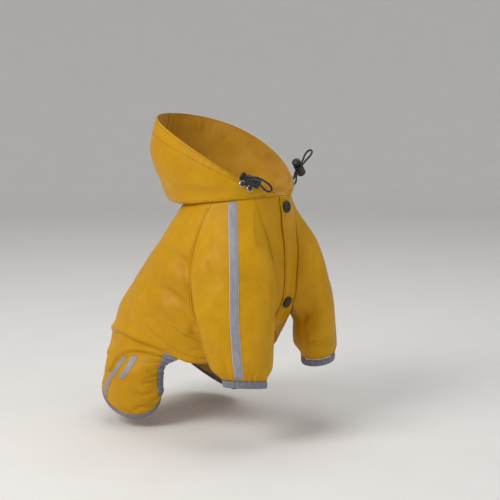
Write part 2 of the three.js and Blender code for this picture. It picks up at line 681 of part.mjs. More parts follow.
function barrel() {
  const { radius, bore, from, to, bottom, chamfer, face } = BARREL;
  const outside = [[0, to], [face, to], [radius, to - chamfer], [radius, from]];
  const inside = [[bore, from], [bore, bottom], [0, bottom]];
  const half = CORD / 2 + CORD_ROOM;
  return slotted(turned([...outside, ...inside].reverse()), CORD_X - half, CORD_X + half);
}

function plunger() {
  const { radius, knob, face, chamfer, from, neck, to } = PLUNGER;
  const outside = [[0, from], [face, from], [knob, from + chamfer], [knob, neck], [radius, neck]];
  const half = CORD / 2 + CORD_ROOM;
  return slotted(turned([...outside, [radius, to], [0, to]]), CORD_X - half - TRAVEL, CORD_X + half);
}

// Where each lock hangs: the barrel's axis, and the way that the strands run through it. The loops' points
// are in the lock's own frame, for one strand, from the barrel to the loop's tip.
const LOCKS = {
  [RIGHT]: {
    axis: [0.5, 0.68, -0.62],
    through: [0.62, -0.62, 0.48],
    shift: { axis: 5, through: 10, side: 3 },
    loop: [
      [-1.6, 1.3, 7.4],
      [1.2, 1.6, 9],
      [5, 2.2, 8.4],
      [9.5, 3.1, 6],
      [14, 3.7, 3.4],
      [18, 3.1, 1.6],
      [19.6, 0, 1],
    ],
  },
  [LEFT]: {
    axis: [-0.12, 0.72, -0.69],
    through: [0.1, 0.7, 0.71],
    shift: { axis: 2.2, through: 18, side: 3 },
    loop: [
      [CORD_X, 1.5, 9],
      [CORD_X, 2.5, 14],
      [CORD_X, 3.4, 19],
      [CORD_X - 0.2, 2.7, 23.4],
      [CORD_X - 0.3, 0, 25.2],
    ],
  },
};
const CORD_SIDES = 8;
const CORD_STEPS = 44;

function lockFrame(side) {
  const { axis, through, shift } = LOCKS[side];
  const z = new THREE.Vector3(...through).normalize();
  const y = z.clone().cross(new THREE.Vector3(...axis)).normalize();
  const x = y.clone().cross(z);
  const middle = eyeletAt(EYELETS[0], side)[0].lerp(eyeletAt(EYELETS[1], side)[0], 0.5);
  middle.addScaledVector(x, shift.axis).addScaledVector(z, shift.through).addScaledVector(y, shift.side);
  return new THREE.Matrix4().makeBasis(x, y, z).setPosition(middle);
}

function cordPath(side) {
  const frame = lockFrame(side);
  const local = (x, y, z) => new THREE.Vector3(x, y, z).applyMatrix4(frame);
  const ways = EYELETS.map((eyelet) => {
    const [at, normal] = eyeletAt(eyelet, side);
    return [SEAM_GAP, CORD].map((out) => at.clone().addScaledVector(normal, out));
  });
  const sideways = new THREE.Vector3().setFromMatrixColumn(frame, 1);
  const flip = sideways.dot(ways[0][0].clone().sub(ways[1][0])) > 0 ? 1 : -1;
  const strand = (y) => STRAND_Z.map((z) => local(CORD_X, y * STRAND_Y, z));
  const loop = (y) => LOCKS[side].loop.map(([px, py, pz]) => local(px, y * py, pz));
  const out = [...ways[0], ...strand(flip), ...loop(flip)];
  const back = [...ways[1], ...strand(-flip), ...loop(-flip).slice(0, -1)];
  return new THREE.CatmullRomCurve3([...out, ...back.reverse()], false, 'centripetal');
}

function cordGeometry(side) {
  const section = new THREE.Shape();
  steps(CORD_SIDES).slice(0, -1).forEach((s, i) => {
    const [x, y] = [(CORD / 2) * cos(FULL_TURN * s), (CORD / 2) * sin(FULL_TURN * s)];
    if (i === 0) section.moveTo(x, y);
    else section.lineTo(x, y);
  });
  const extrudePath = cordPath(side);
  return new THREE.ExtrudeGeometry(section, { extrudePath, steps: CORD_STEPS, bevelEnabled: false });
}

for (const side of [RIGHT, LEFT]) {
  const name = sideName(side);
  EYELETS.forEach((eyelet, i) => {
    const { radius, top, hole, height, seat } = EYELET;
    const ring = piece(
      `eyelet_${i + 1}_${name}`,
      turned([[hole, 0], [radius, 0], [top, height], [hole, height], [hole, 0]]),
      STEEL,
    );
    const [at, normal] = eyeletAt(eyelet, side);
    seated(ring, at.addScaledVector(normal, seat), normal, new THREE.Vector3(0, 0, 1));
  });
  piece(`lock_barrel_${name}`, barrel(), BLACK).applyMatrix4(lockFrame(side));
  piece(`lock_plunger_${name}`, plunger(), BLACK).applyMatrix4(lockFrame(side));
  piece(`hood_cord_${name}`, cordGeometry(side), BLACK);
}

// The wearer's withers hold the coat up: the origin is there, on the back panel's inner face.
const WITHERS_ROW = 3;
const withersU = BODY_ROWS[WITHERS_ROW];
const withers = bodyPoint(withersU, 180).addScaledVector(bodyNormal[LEFT](withersU, 180), -WALL);
coat.position.copy(withers).negate();

export default coat;
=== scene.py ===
"""Looks for a dog raincoat with four legs and a hood, sewn from mustard coated cloth."""

import logging
import math
from collections.abc import Callable, Sequence
from dataclasses import dataclass, field
from enum import Enum

import bmesh
import bpy
import numpy as np
from mathutils import Matrix, Vector


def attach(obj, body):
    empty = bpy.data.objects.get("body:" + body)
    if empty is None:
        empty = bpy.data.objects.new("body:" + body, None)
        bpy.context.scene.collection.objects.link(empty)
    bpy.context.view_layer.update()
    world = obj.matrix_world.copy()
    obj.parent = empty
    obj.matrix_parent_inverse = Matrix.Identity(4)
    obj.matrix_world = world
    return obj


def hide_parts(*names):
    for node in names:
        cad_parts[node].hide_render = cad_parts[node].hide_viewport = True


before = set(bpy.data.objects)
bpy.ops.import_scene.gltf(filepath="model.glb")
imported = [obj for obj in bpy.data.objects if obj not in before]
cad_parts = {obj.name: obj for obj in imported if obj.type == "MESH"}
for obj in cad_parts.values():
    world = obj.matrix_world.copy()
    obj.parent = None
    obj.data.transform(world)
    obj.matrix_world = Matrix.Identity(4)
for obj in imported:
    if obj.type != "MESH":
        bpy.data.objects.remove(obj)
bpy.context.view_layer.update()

Array = np.ndarray
Place = Callable[[Array, Array], Array]

LOG = logging.getLogger("raincoat")

# The tables below are in millimetres from the middle of the neckline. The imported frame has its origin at
# the withers, on the inner face of the back.
WITHERS = np.array([-82.3203, 0.0, -44.5912])
MM = 0.001
STEP = 1e-3
CLOTH = 1.0
BODY_FRAME = "coat"


class Side(Enum):
    """The wearer's side that a piece belongs to; the value is the sign of Y."""

    RIGHT = -1
    LEFT = 1

    @property
    def word(self) -> str:
        """The side's word in the names of nodes and pieces."""
        return self.name.lower()


class Edge(Enum):
    """How a cloth grid ends: rolled into a seam, folded over as a hem, or cut off under something."""

    SEAM = "seam"
    FOLDED = "folded"
    FLAT = "flat"


def smooth(x: Array) -> Array:
    """Nought below nought, one above one, and x squared times three less two x between them."""
    x = np.clip(x, 0.0, 1.0)
    return x * x * (3.0 - 2.0 * x)


def cosine(degrees: Array) -> Array:
    """The cosine of an angle in degrees."""
    return np.cos(np.radians(degrees))


def sine(degrees: Array) -> Array:
    """The sine of an angle in degrees."""
    return np.sin(np.radians(degrees))


def mix(a: Array, b: Array, f: Array) -> Array:
    """The value that lies the share f of the way from a to b."""
    return a + (b - a) * f


def unit(vectors: Array) -> Array:
    """Vectors along the last axis, each divided by its length."""
    return vectors / np.maximum(np.linalg.norm(vectors, axis=-1, keepdims=True), 1e-12)


def stack(x: Array, y: Array, z: Array) -> Array:
    """Three arrays of coordinates as one array of points."""
    return np.stack(np.broadcast_arrays(x, y, z), axis=-1).astype(float)


class Table:
    """Sections tabled by a key. Between two rows each value follows a cubic that never overshoots.

    The slope at an inner row is the harmonic mean of the slopes on its two sides, or nought where they
    differ in sign, and the slope at an end row is that of the end interval.
    """

    def __init__(self, rows: Sequence[Sequence[float]]) -> None:
        """Works out the slopes.

        Args:
            rows: The key and the values of each section.
        """
        grid = np.array(rows, float)
        grid = grid[np.argsort(grid[:, 0])]
        self.keys, self.values = grid[:, 0], grid[:, 1:]
        run = np.diff(self.values, axis=0) / np.diff(self.keys)[:, None]
        product, total = run[:-1] * run[1:], run[:-1] + run[1:]
        inner = np.where(product > 0, 2 * product / np.where(total == 0, 1, total), 0)
        self.slopes = np.vstack([run[:1], inner, run[-1:]])

    def __call__(self, key: Array) -> Array:
        """The values at each key.

        Args:
            key: Keys of any shape, held inside the table.

        Returns:
            One array of the keys' shape for each column, stacked first.
        """
        k = np.clip(np.asarray(key, float), self.keys[0], self.keys[-1])
        i = np.clip(np.searchsorted(self.keys, k, side="right") - 1, 0, len(self.keys) - 2)
        width = (self.keys[i + 1] - self.keys[i])[..., None]
        f = (k[..., None] - self.keys[i][..., None]) / width
        p, q = self.values[i], self.values[i + 1]
        m, n = self.slopes[i] * width, self.slopes[i + 1] * width
        cubic = p + f * (m + f * (3 * (q - p) - 2 * m - n + f * (2 * (p - q) + m + n)))
        return np.moveaxis(cubic, -1, 0)


# The body: u, back x and z, chest x and z, half width, roundness and share of the hem's drop.
BODY = Table([
    (0.0, -56, -4, 55, 7, 50, 1.0, 0),
    (0.2, -73, -30, 58, -22, 64, 0.95, 0),
    (0.4, -95, -58, 61.5, -55, 70, 0.92, 0),
    (0.6, -118, -85, 60.5, -86, 72, 0.92, 0),
    (0.8, -140, -114, 50, -111, 73, 0.95, 0.4),
    (1.0, -156, -151, 36, -127, 71, 1.0, 1),
])
# How far the waist seam and the hem hang below the last ring, by the angle from the chest's middle.
HEM = Table([
    (0, 0), (10, 1.7), (20, 6.4), (30, 13.4), (40, 21.5), (50, 26.3), (60, 24.7),
    (70, 18.4), (80, 11.2), (90, 6.5), (100, 1.9), (120, -5.7), (150, -3), (180, 0),
])
ARMPIT_U = 0.78
ARMPIT_V = 45.0
# The raglan seams: share down to the armpit, angle of the front seam and of the rear one.
RAGLAN = Table([(0.0, 36, 82), (0.25, 19, 82), (0.5, 14.5, 76), (0.75, 18, 68), (1.0, ARMPIT_V, ARMPIT_V)])
FRONT_TOP = 0.375
REAR_TOP = 0.625
BODY_LENGTH = 205.0
MM_PER_DEGREE = 1.15


def folded(v: Array) -> Array:
    """An angle round the body as its distance from the chest's middle, from 0 to 180 degrees."""
    return np.abs((np.asarray(v, float) + 180.0) % 360.0 - 180.0)


def body_point(u: Array, v: Array) -> Array:
    """Points of the body's outer face.

    A ring at u has its front and back ends tabled. The point at the angle v lies at their middle plus
    half their difference times the cosine, and half the width times the sine; both keep their sign and
    are raised to the ring's roundness, which squares the ring a little. The hem then hangs down.

    Args:
        u: From 0 at the neckline to 1 at the waist seam and the hem.
        v: Degrees from the chest's middle, positive to the left.

    Returns:
        The points in millimetres.
    """
    back_x, back_z, chest_x, chest_z, half, power, sag = BODY(u)
    c, s = cosine(v), sine(v)
    c = np.sign(c) * np.abs(c) ** power
    s = np.sign(s) * np.abs(s) ** power
    x = (chest_x + back_x) / 2 + c * (chest_x - back_x) / 2
    z = (chest_z + back_z) / 2 + c * (chest_z - back_z) / 2
    return stack(x, half * s, z - sag * HEM(folded(v))[0])


def seam_down(u: Array) -> Array:
    """How far down the raglan seam a ring lies, from 0 at the neck to 1 at the armpit."""
    return np.degrees(np.arcsin(np.clip(u / ARMPIT_U, 0, 1))) / 90.0


def armhole(a: Array) -> tuple[Array, Array]:
    """The armhole line on the body: up the front seam, along the neckline and down the rear seam.

    Args:
        a: The share of the way round, from 0 at the armpit.

    Returns:
        The body's coordinates u and v of each point.
    """
    a = np.mod(a, 1.0)
    down = np.where(a < FRONT_TOP, 1 - a / FRONT_TOP, np.maximum(a - REAR_TOP, 0) / FRONT_TOP)
    front, rear = RAGLAN(down)
    top_front, top_rear = RAGLAN(0.0)
    along = (a - FRONT_TOP) / (REAR_TOP - FRONT_TOP)
    on_neck = (a >= FRONT_TOP) & (a <= REAR_TOP)
    v = np.where(a < FRONT_TOP, front, rear)
    u = np.where(on_neck, 0.0, ARMPIT_U * sine(90 * down))
    return u, np.where(on_neck, mix(top_front, top_rear, along), v)


# A sleeve's level ovals: height, middle x and y, long and short half axes, and turn.
SLEEVE = Table([
    (0, 26, 40, 28, 14, 0),
    (-28, 33, 48, 33.5, 16.5, 0),
    (-60, 40, 56, 42, 18.6, 0),
    (-108, 48.5, 63.5, 36.5, 19, 2),
    (-148, 52.4, 61.2, 29.6, 21.7, 5),
    (-160, 56.2, 60.8, 21.4, 17, 12),
    (-167, 56.6, 60.8, 20.8, 16.6, 14),
])
SLEEVE_SHARES = (0, FRONT_TOP, REAR_TOP, 1)
SLEEVE_ANGLES = (-90.0, 55.0, 125.0, 270.0)
SLEEVE_TURN = 38.0
SLEEVE_END = -160.0
CUFF_END = -167.0
SLEEVE_DROP = {Side.RIGHT: 5.0, Side.LEFT: 0.0}
CUFF_RISE = 3.0
NECK_REACH = 50.0
ARMPIT_REACH = 12.0


def sleeve_point(a: Array, t: Array, side: Side) -> Array:
    """Points of a sleeve's outer face.

    Level ovals are tabled by height, each turned inward. Near the armhole the cloth leaves the seam
    point above it: the share of the oval is one less the square of the nearness to the seam.

    Args:
        a: The share of the way round, from 0 at the armpit.
        t: From 0 at the armhole to 1 at the cuff seam and 2 at the cuff's edge.
        side: The wearer's side.

    Returns:
        The points in millimetres.
    """
    a = np.asarray(a, float)
    share = np.mod(a, 1.0)
    angle = np.interp(share, SLEEVE_SHARES, SLEEVE_ANGLES)
    u, v = armhole(share)
    top = body_point(u, side.value * v)
    low_end = SLEEVE_END - SLEEVE_DROP[side]
    end = low_end + CUFF_RISE * sine(angle)
    cuff = mix(end, end + CUFF_END - SLEEVE_END, t - 1)
    z = np.where(t <= 1, mix(top[..., 2], end, np.minimum(t, 1)), cuff)
    armpit_z = body_point(np.array(ARMPIT_U), np.array(ARMPIT_V))[2]
    reach = mix(NECK_REACH, ARMPIT_REACH, np.clip(top[..., 2] / armpit_z, 0, 1))
    near = 1 - np.minimum((top[..., 2] - z) / reach, 1)
    x0, y0, long, short, twist = SLEEVE(z * SLEEVE_END / low_end)
    along, across = long * cosine(angle + twist), short * sine(angle + twist)
    x = x0 + along * cosine(SLEEVE_TURN) + across * sine(SLEEVE_TURN)
    y = y0 - along * sine(SLEEVE_TURN) + across * cosine(SLEEVE_TURN)
    free = 1 - near**2
    return stack(mix(top[..., 0], x, free), mix(top[..., 1], side.value * y, free), z)


# The thigh's ovals: t, middle, half axes, droop, and the angles where the round starts and ends.
LEG = Table([
    (0.5, -85, 59, -168, 37, 27, 10, 0, 265),
    (0.8, -88, 61, -186, 37.5, 25, 17, -8, 285),
    (1.0, -91, 62, -196, 37, 22, 20, -52, 308),
    (1.15, -91, 62, -200.5, 35.5, 20.5, 20, -52, 308),
])
WAIST_FRONT = 67.5
WAIST_SHARE = 0.625
CROTCH_X = -120.0
CROTCH_Z = -182.0
BACK_SEAM_CURVE = 1.7
LEG_ROUND = 190.0
LEG_TOP = 0.5
DROOP_AT = 60.0
RUMP = 2.5
RUMP_FROM = 0.2
RUMP_FULL = 0.55
HIND_CUFF_END = 1.15


def waist_point(a: Array, side: Side) -> Array:
    """Points of the waist seam, and past WAIST_SHARE of the seam down the middle of the back."""
    waist = body_point(np.ones_like(a), side.value * mix(WAIST_FRONT, 180.0, np.minimum(a / WAIST_SHARE, 1)))
    down = np.maximum(a - WAIST_SHARE, 0) / (1 - WAIST_SHARE)
    top = body_point(np.array(1.0), np.array(180.0))
    seam = stack(mix(top[0], CROTCH_X, down**BACK_SEAM_CURVE), 0.0, mix(top[2], CROTCH_Z, down))
    return np.where((a <= WAIST_SHARE)[..., None], waist, seam)


def leg_section(t: Array, a: Array, side: Side) -> Array:
    """Points of the thigh's tabled sections: ovals that droop towards one direction."""
    x0, y0, z0, long, wide, droop, first, last = LEG(t)
    angle = mix(first, last, a)
    x, y = x0 + long * cosine(angle), y0 + wide * sine(angle)
    return stack(x, side.value * y, z0 - droop * cosine(angle - DROOP_AT))


def leg_point(a: Array, t: Array, side: Side) -> Array:
    """Points of a trouser leg's outer face.

    Above the thigh section each line follows a curve that starts straight down its chord at the seam
    and meets the thigh with the thigh's own slope. The rump is pushed back a little.

    Args:
        a: From 0 at the front edge, back along the waist and down the back seam, to 1 at the crotch.
        t: From 0 at those seams to 1 at the cuff seam and 1.15 at the cuff's edge.
        side: The wearer's side.

    Returns:
        The points in millimetres.
    """
    a, t = np.broadcast_arrays(np.asarray(a, float), np.asarray(t, float))
    top = waist_point(a, side)
    at_top = np.full_like(a, LEG_TOP)
    low = leg_section(at_top, a, side)
    fall = (leg_section(at_top + STEP, a, side) - low) * LEG_TOP / STEP
    f = np.minimum(t / LEG_TOP, 1.0)[..., None]
    chord = low - top
    curve = top + chord * f - (fall - chord) * f * f * (1 - f)
    rear = smooth((a - RUMP_FROM) / (RUMP_FULL - RUMP_FROM)) * smooth((1 - a) / (1 - RUMP_FULL))
    curve[..., 0] -= RUMP * rear * 4 * f[..., 0] * (1 - f[..., 0])
    return np.where((t >= LEG_TOP)[..., None], leg_section(t, a, side), curve)


# The hood: h, back x and z, chest x and z, half width and lift of the sides.
HOOD = Table([
    (0.0, -56, -4, 55, 7, 50, 0),
    (0.15, -73, -3.5, 56.5, 8, 53.5, 1),
    (0.45, -90, 22, 56.5, 9, 60, 3),
    (0.7, -99, 52, 56, 9.8, 63, 6),
    (1.0, -91, 86, 55.5, 10, 60, 10),
])
HOOD_FRONT_V = 9.0


def hood_point(h: Array, v: Array) -> Array:
    """Points of the hood's outer face: round rings from the neckline to the rim, lifted at their sides.

    Args:
        h: From 0 at the neckline to 1 at the rim.
        v: Degrees from the chest's middle, positive to the left.

    Returns:
        The points in millimetres.
    """
    back_x, back_z, chest_x, chest_z, half, lift = HOOD(h)
    c, s = cosine(v), sine(v)
    x = (chest_x + back_x) / 2 + c * (chest_x - back_x) / 2
    z = (chest_z + back_z) / 2 + c * (chest_z - back_z) / 2 + lift * s * s
    return stack(x, half * s, z)


class Crease(Enum):
    """The section of a fold: a raised roll, a dent, or cloth that laps over on the path's left."""

    RIDGE = "ridge"
    TROUGH = "trough"
    LAP = "lap"


@dataclass(frozen=True)
class Fold:
    """A fold that follows a path in a surface's own coordinates; heights and widths in millimetres."""

    path: tuple[tuple[float, float], ...]
    height: float
    width: float
    kind: Crease = Crease.TROUGH
    samples: int = 40
    reach: float = 3.2

    def relief(self, place: Place, points: Array, normal_of: Place) -> Array:
        """How far the fold moves each point along the surface's normal.

        The nearest sample of the path gives the distance across. A ridge or trough is a bell of that
        distance; a lap rises slowly on one side and drops at once on the other. All fade at both ends
        with the square root of the sine of the share along the path.

        Args:
            place: The bare surface.
            points: Points of it, in millimetres.
            normal_of: The surface's unit normals.

        Returns:
            The move of each point, in millimetres.
        """
        knots = np.array(self.path, float)
        keys = np.linspace(0, 1, len(knots))
        line = Table(np.column_stack([keys, knots]))
        s, t = line(np.linspace(0, 1, self.samples))
        path, normal = place(s, t), normal_of(s, t)
        flat = points.reshape(-1, 3)
        moved = np.zeros(len(flat))
        room = self.reach * self.width
        close = np.all((flat > path.min(0) - room) & (flat < path.max(0) + room), axis=1)
        if not close.any():
            return moved.reshape(points.shape[:-1])
        near = flat[close]
        nearest = ((near[:, None] - path[None]) ** 2).sum(-1).argmin(1)
        tangent = unit(np.gradient(path, axis=0))
        offset = near - path[nearest]
        along = (offset * tangent[nearest]).sum(-1)
        side = (offset * np.cross(normal, tangent)[nearest]).sum(-1)
        depth = (offset * normal[nearest]).sum(-1)
        length = np.linalg.norm(np.diff(path, axis=0), axis=1).sum()
        station = nearest / (self.samples - 1) + along / length
        fade = np.sqrt(np.sin(np.pi * np.clip(station, 0, 1)))
        across = np.hypot(side, 0.5 * depth) / self.width
        if self.kind is Crease.LAP:
            signed = side / self.width
            over = np.exp(-(signed**2)) * (signed > 0) + np.exp(-((signed / 0.28) ** 2)) * (signed <= 0)
            under = 0.45 * np.exp(-(((signed + 0.75) / 0.5) ** 2))
            shape = (over - under) * np.exp(-((depth / (3 * self.width)) ** 2))
        else:
            shape = np.exp(-(across**2)) * (1 if self.kind is Crease.RIDGE else -1)
        moved[close] = self.height * shape * fade
        return moved.reshape(points.shape[:-1])


@dataclass(frozen=True)
class Gathers:
    """Small pleats that an elastic edge at t = 1 draws into the cloth above it."""

    count: int
    depth: float
    width: float
    height: tuple[float, float]
    span: tuple[float, float] = (0.0, 1.0)
    closed: bool = True
    seed: int = 7
    on_band: float = 0.3

    def relief(self, a: Array, t: Array) -> Array:
        """The dents' depth: bells across, each fading upward over its own height.

        Args:
            a: The share round the opening.
            t: The coordinate that is 1 at the elastic's seam.

        Returns:
            The move of each point along the normal, in millimetres.
        """
        rng = np.random.default_rng(self.seed)
        places = mix(*self.span, (np.arange(self.count) + rng.uniform(-0.33, 0.33, self.count)) / self.count)
        heights = rng.uniform(*self.height, self.count)
        depths = self.depth * rng.uniform(0.45, 1.15, self.count)
        moved = np.zeros(np.broadcast(a, t).shape)
        for place, height, depth in zip(places, heights, depths):
            gap = a - place
            if self.closed:
                gap = (gap + 0.5) % 1.0 - 0.5
            rise = smooth((t - (1 - height)) / height)
            moved -= depth * np.exp(-((gap / self.width) ** 2)) * np.where(t <= 1, rise, self.on_band)
        return moved


@dataclass
class Surface:
    """A sheet's outer face as a function of its own two coordinates, with its folds."""

    place: Place
    inside: tuple[float, float, float]
    probe: tuple[float, float]
    folds: Sequence[Fold] = ()
    ease: Place = field(default=lambda s, t: np.ones(np.broadcast(s, t).shape))
    gather: Place = field(default=lambda s, t: np.zeros(np.broadcast(s, t).shape))
    limits: tuple[float, float, float, float] = (-1e9, 1e9, -1e9, 1e9)

    def __post_init__(self) -> None:
        """Finds which way is out: away from a point inside the coat."""
        s, t = (np.array([value]) for value in self.probe)
        self.sign = 1.0
        out = (self.normal(s, t) * (self.place(s, t) - np.array(self.inside))).sum()
        self.sign = float(np.sign(out))

    def normal(self, s: Array, t: Array) -> Array:
        """The unit normal: the cross product of the two differences, each over a small step."""
        low_s, high_s, low_t, high_t = self.limits
        s, t = np.broadcast_arrays(np.asarray(s, float), np.asarray(t, float))
        s, t = np.clip(s, low_s + STEP, high_s - STEP), np.clip(t, low_t + STEP, high_t - STEP)
        along = self.place(s + STEP, t) - self.place(s - STEP, t)
        down = self.place(s, t + STEP) - self.place(s, t - STEP)
        return self.sign * unit(np.cross(along, down))

    def relief(self, s: Array, t: Array, points: Array) -> Array:
        """The folds' and the gathers' total move of each point along the normal."""
        total = np.zeros(points.shape[:-1])
        for fold in self.folds:
            total = total + fold.relief(self.place, points, self.normal)
        return total * self.ease(s, t) + self.gather(s, t)

    def at(self, s: Array, t: Array, lift: Array = 0.0) -> Array:
        """Points of the folded face, lifted off it by a distance in millimetres."""
        s, t = np.broadcast_arrays(np.asarray(s, float), np.asarray(t, float))
        points = self.place(s, t)
        return points + self.normal(s, t) * (self.relief(s, t, points) + lift)[..., None]


# How a sheet's border turns down: distance from the edge, and dip, in millimetres.
SEAM_ROLL = ((0.05, 0.5), (0.35, 0.26), (0.8, 0.08), (1.6, 0.0))
HEM_ROLL = ((0.0, 1.0), (0.12, 0.52), (0.45, 0.18), (1.1, 0.0))
FLAT_EDGE = ((0.05, 0.0), (1.0, 0.0))
ROLLS = {Edge.SEAM: SEAM_ROLL, Edge.FOLDED: HEM_ROLL, Edge.FLAT: FLAT_EDGE}


def spread(length: Array, count: int, start: Edge, end: Edge) -> tuple[Array, Array]:
    """Shares of a line from edge to edge, close together where its ends turn down.

    Args:
        length: The line's length in millimetres, or one length for each line.
        count: How many even steps the middle has.
        start: How the line starts.
        end: How the line ends.

    Returns:
        The shares, with one row for each length, and the dip at each place in millimetres.
    """
    length = np.atleast_1d(np.asarray(length, float))[:, None]
    first, last = np.array(ROLLS[start]), np.array(ROLLS[end])[::-1]
    low, high = first[-1, 0], length - last[0, 0]
    middle = low + (high - low) * np.linspace(0, 1, count + 1)[None, 1:-1]
    ones = np.ones_like(length)
    places = np.hstack([ones * first[:, 0], middle, length - last[:, 0]])
    dips = np.concatenate([first[:, 1], np.zeros(count - 1), last[:, 1]])
    return places / length, dips


def grid_lengths(points: Array, wrap: bool) -> Array:
    """Arc lengths across and along a grid of points, as a map of millimetres for its patterns."""
    closed = np.concatenate([points, points[:, :1]], axis=1) if wrap else points
    across = np.cumsum(np.linalg.norm(np.diff(closed, axis=1, prepend=closed[:, :1]), axis=-1), axis=1)
    middle = across.mean(axis=0, keepdims=True) * np.ones_like(across)
    along = np.cumsum(np.linalg.norm(np.diff(closed, axis=0, prepend=closed[:1]), axis=-1), axis=0)
    return np.stack([middle, along.mean(axis=1, keepdims=True) * np.ones_like(along)], axis=-1)


def mesh_piece(name: str, vertices: Array, faces: Array, uv: Array | None = None) -> bpy.types.Object:
    """A smooth mesh object at the origin.

    Args:
        name: The piece's name.
        vertices: Points in millimetres from the neckline's middle.
        faces: Corner numbers, or lists of them.
        uv: For each corner of each face, its place in the pattern, in millimetres.

    Returns:
        The linked object.
    """
    mesh = bpy.data.meshes.new(name)
    corners = faces if isinstance(faces, list) else faces.tolist()
    mesh.from_pydata(((vertices - WITHERS) * MM).tolist(), [], corners)
    if uv is not None:
        layer = mesh.uv_layers.new(name="UVMap")
        layer.data.foreach_set("uv", (uv * MM).astype(np.float32).ravel())
    mesh.polygons.foreach_set("use_smooth", np.ones(len(mesh.polygons), dtype=bool))
    mesh.update()
    obj = bpy.data.objects.new(name, mesh)
    bpy.context.scene.collection.objects.link(obj)
    return obj


def grid_piece(name: str, points: Array, out: Array, wrap: bool = False) -> bpy.types.Object:
    """A sheet from a grid of points, with its faces turned outward.

    Args:
        name: The piece's name.
        points: Rows of points in millimetres.
        out: The outward normals at them.
        wrap: Whether the last column joins the first.

    Returns:
        The linked object, with a map of arc lengths.
    """
    rows, columns = points.shape[:2]
    index = np.arange(rows * columns).reshape(rows, columns)
    if wrap:
        index = np.concatenate([index, index[:, :1]], axis=1)
    lengths = grid_lengths(points, wrap)
    corners = (
        (slice(None, -1), slice(None, -1)),
        (slice(1, None), slice(None, -1)),
        (slice(1, None), slice(1, None)),
        (slice(None, -1), slice(1, None)),
    )
    faces = np.stack([index[corner].ravel() for corner in corners], axis=1)
    uv = np.stack([lengths[corner].reshape(-1, 2) for corner in corners], axis=1)
    facing = np.cross(points[1:, :-1] - points[:-1, :-1], points[:-1, 1:] - points[:-1, :-1])
    if (facing * out[:-1, :-1]).sum() < 0:
        faces, uv = faces[:, ::-1], uv[:, ::-1]
    return mesh_piece(name, points.reshape(-1, 3), faces, uv)


def thicken(obj: bpy.types.Object, wall: float, lining: bool = True) -> None:
    """Gives a sheet its wall inward; its inner face takes the next material."""
    wall_maker = obj.modifiers.new("wall", "SOLIDIFY")
    wall_maker.thickness = wall * MM
    wall_maker.offset = -1.0
    wall_maker.use_rim = True
    wall_maker.material_offset = 1 if lining else 0


def sheet_area(points: Array) -> float:
    """A grid's area in square metres: half the cross product of each quad's diagonals, added up."""
    one = points[1:, 1:] - points[:-1, :-1]
    other = points[1:, :-1] - points[:-1, 1:]
    return float(np.linalg.norm(np.cross(one, other), axis=-1).sum() / 2 * MM * MM)


def cut_size(points: Array) -> tuple[float, float]:
    """The width and length, in metres, of the smallest rectangle that a sheet is cut from."""
    width = np.linalg.norm(np.diff(points, axis=1), axis=-1).sum(axis=1).max()
    length = np.linalg.norm(np.diff(points, axis=0), axis=-1).sum(axis=0).max()
    return float(width * MM), float(length * MM)


class Value:
    """A shader socket in a Python expression: each operator adds one Math node."""

    def __init__(self, finish: "Shader", socket: bpy.types.NodeSocket) -> None:
        """Keeps the socket and the finish that it belongs to."""
        self.finish, self.socket = finish, socket

    def _math(self, operation: str, one: "Value | float", other: "Value | float") -> "Value":
        """A Math node that joins two values."""
        return self.finish.node("ShaderNodeMath", {"operation": operation}, {0: one, 1: other})

    def __add__(self, other: "Value | float") -> "Value":
        """The sum."""
        return self._math("ADD", self, other)

    __radd__ = __add__

    def __mul__(self, other: "Value | float") -> "Value":
        """The product."""
        return self._math("MULTIPLY", self, other)

    __rmul__ = __mul__

    def __sub__(self, other: "Value | float") -> "Value":
        """The difference."""
        return self._math("SUBTRACT", self, other)

    def __rsub__(self, other: "Value | float") -> "Value":
        """The difference the other way round."""
        return self._math("SUBTRACT", other, self)


WAVE_SCALE = 0.314


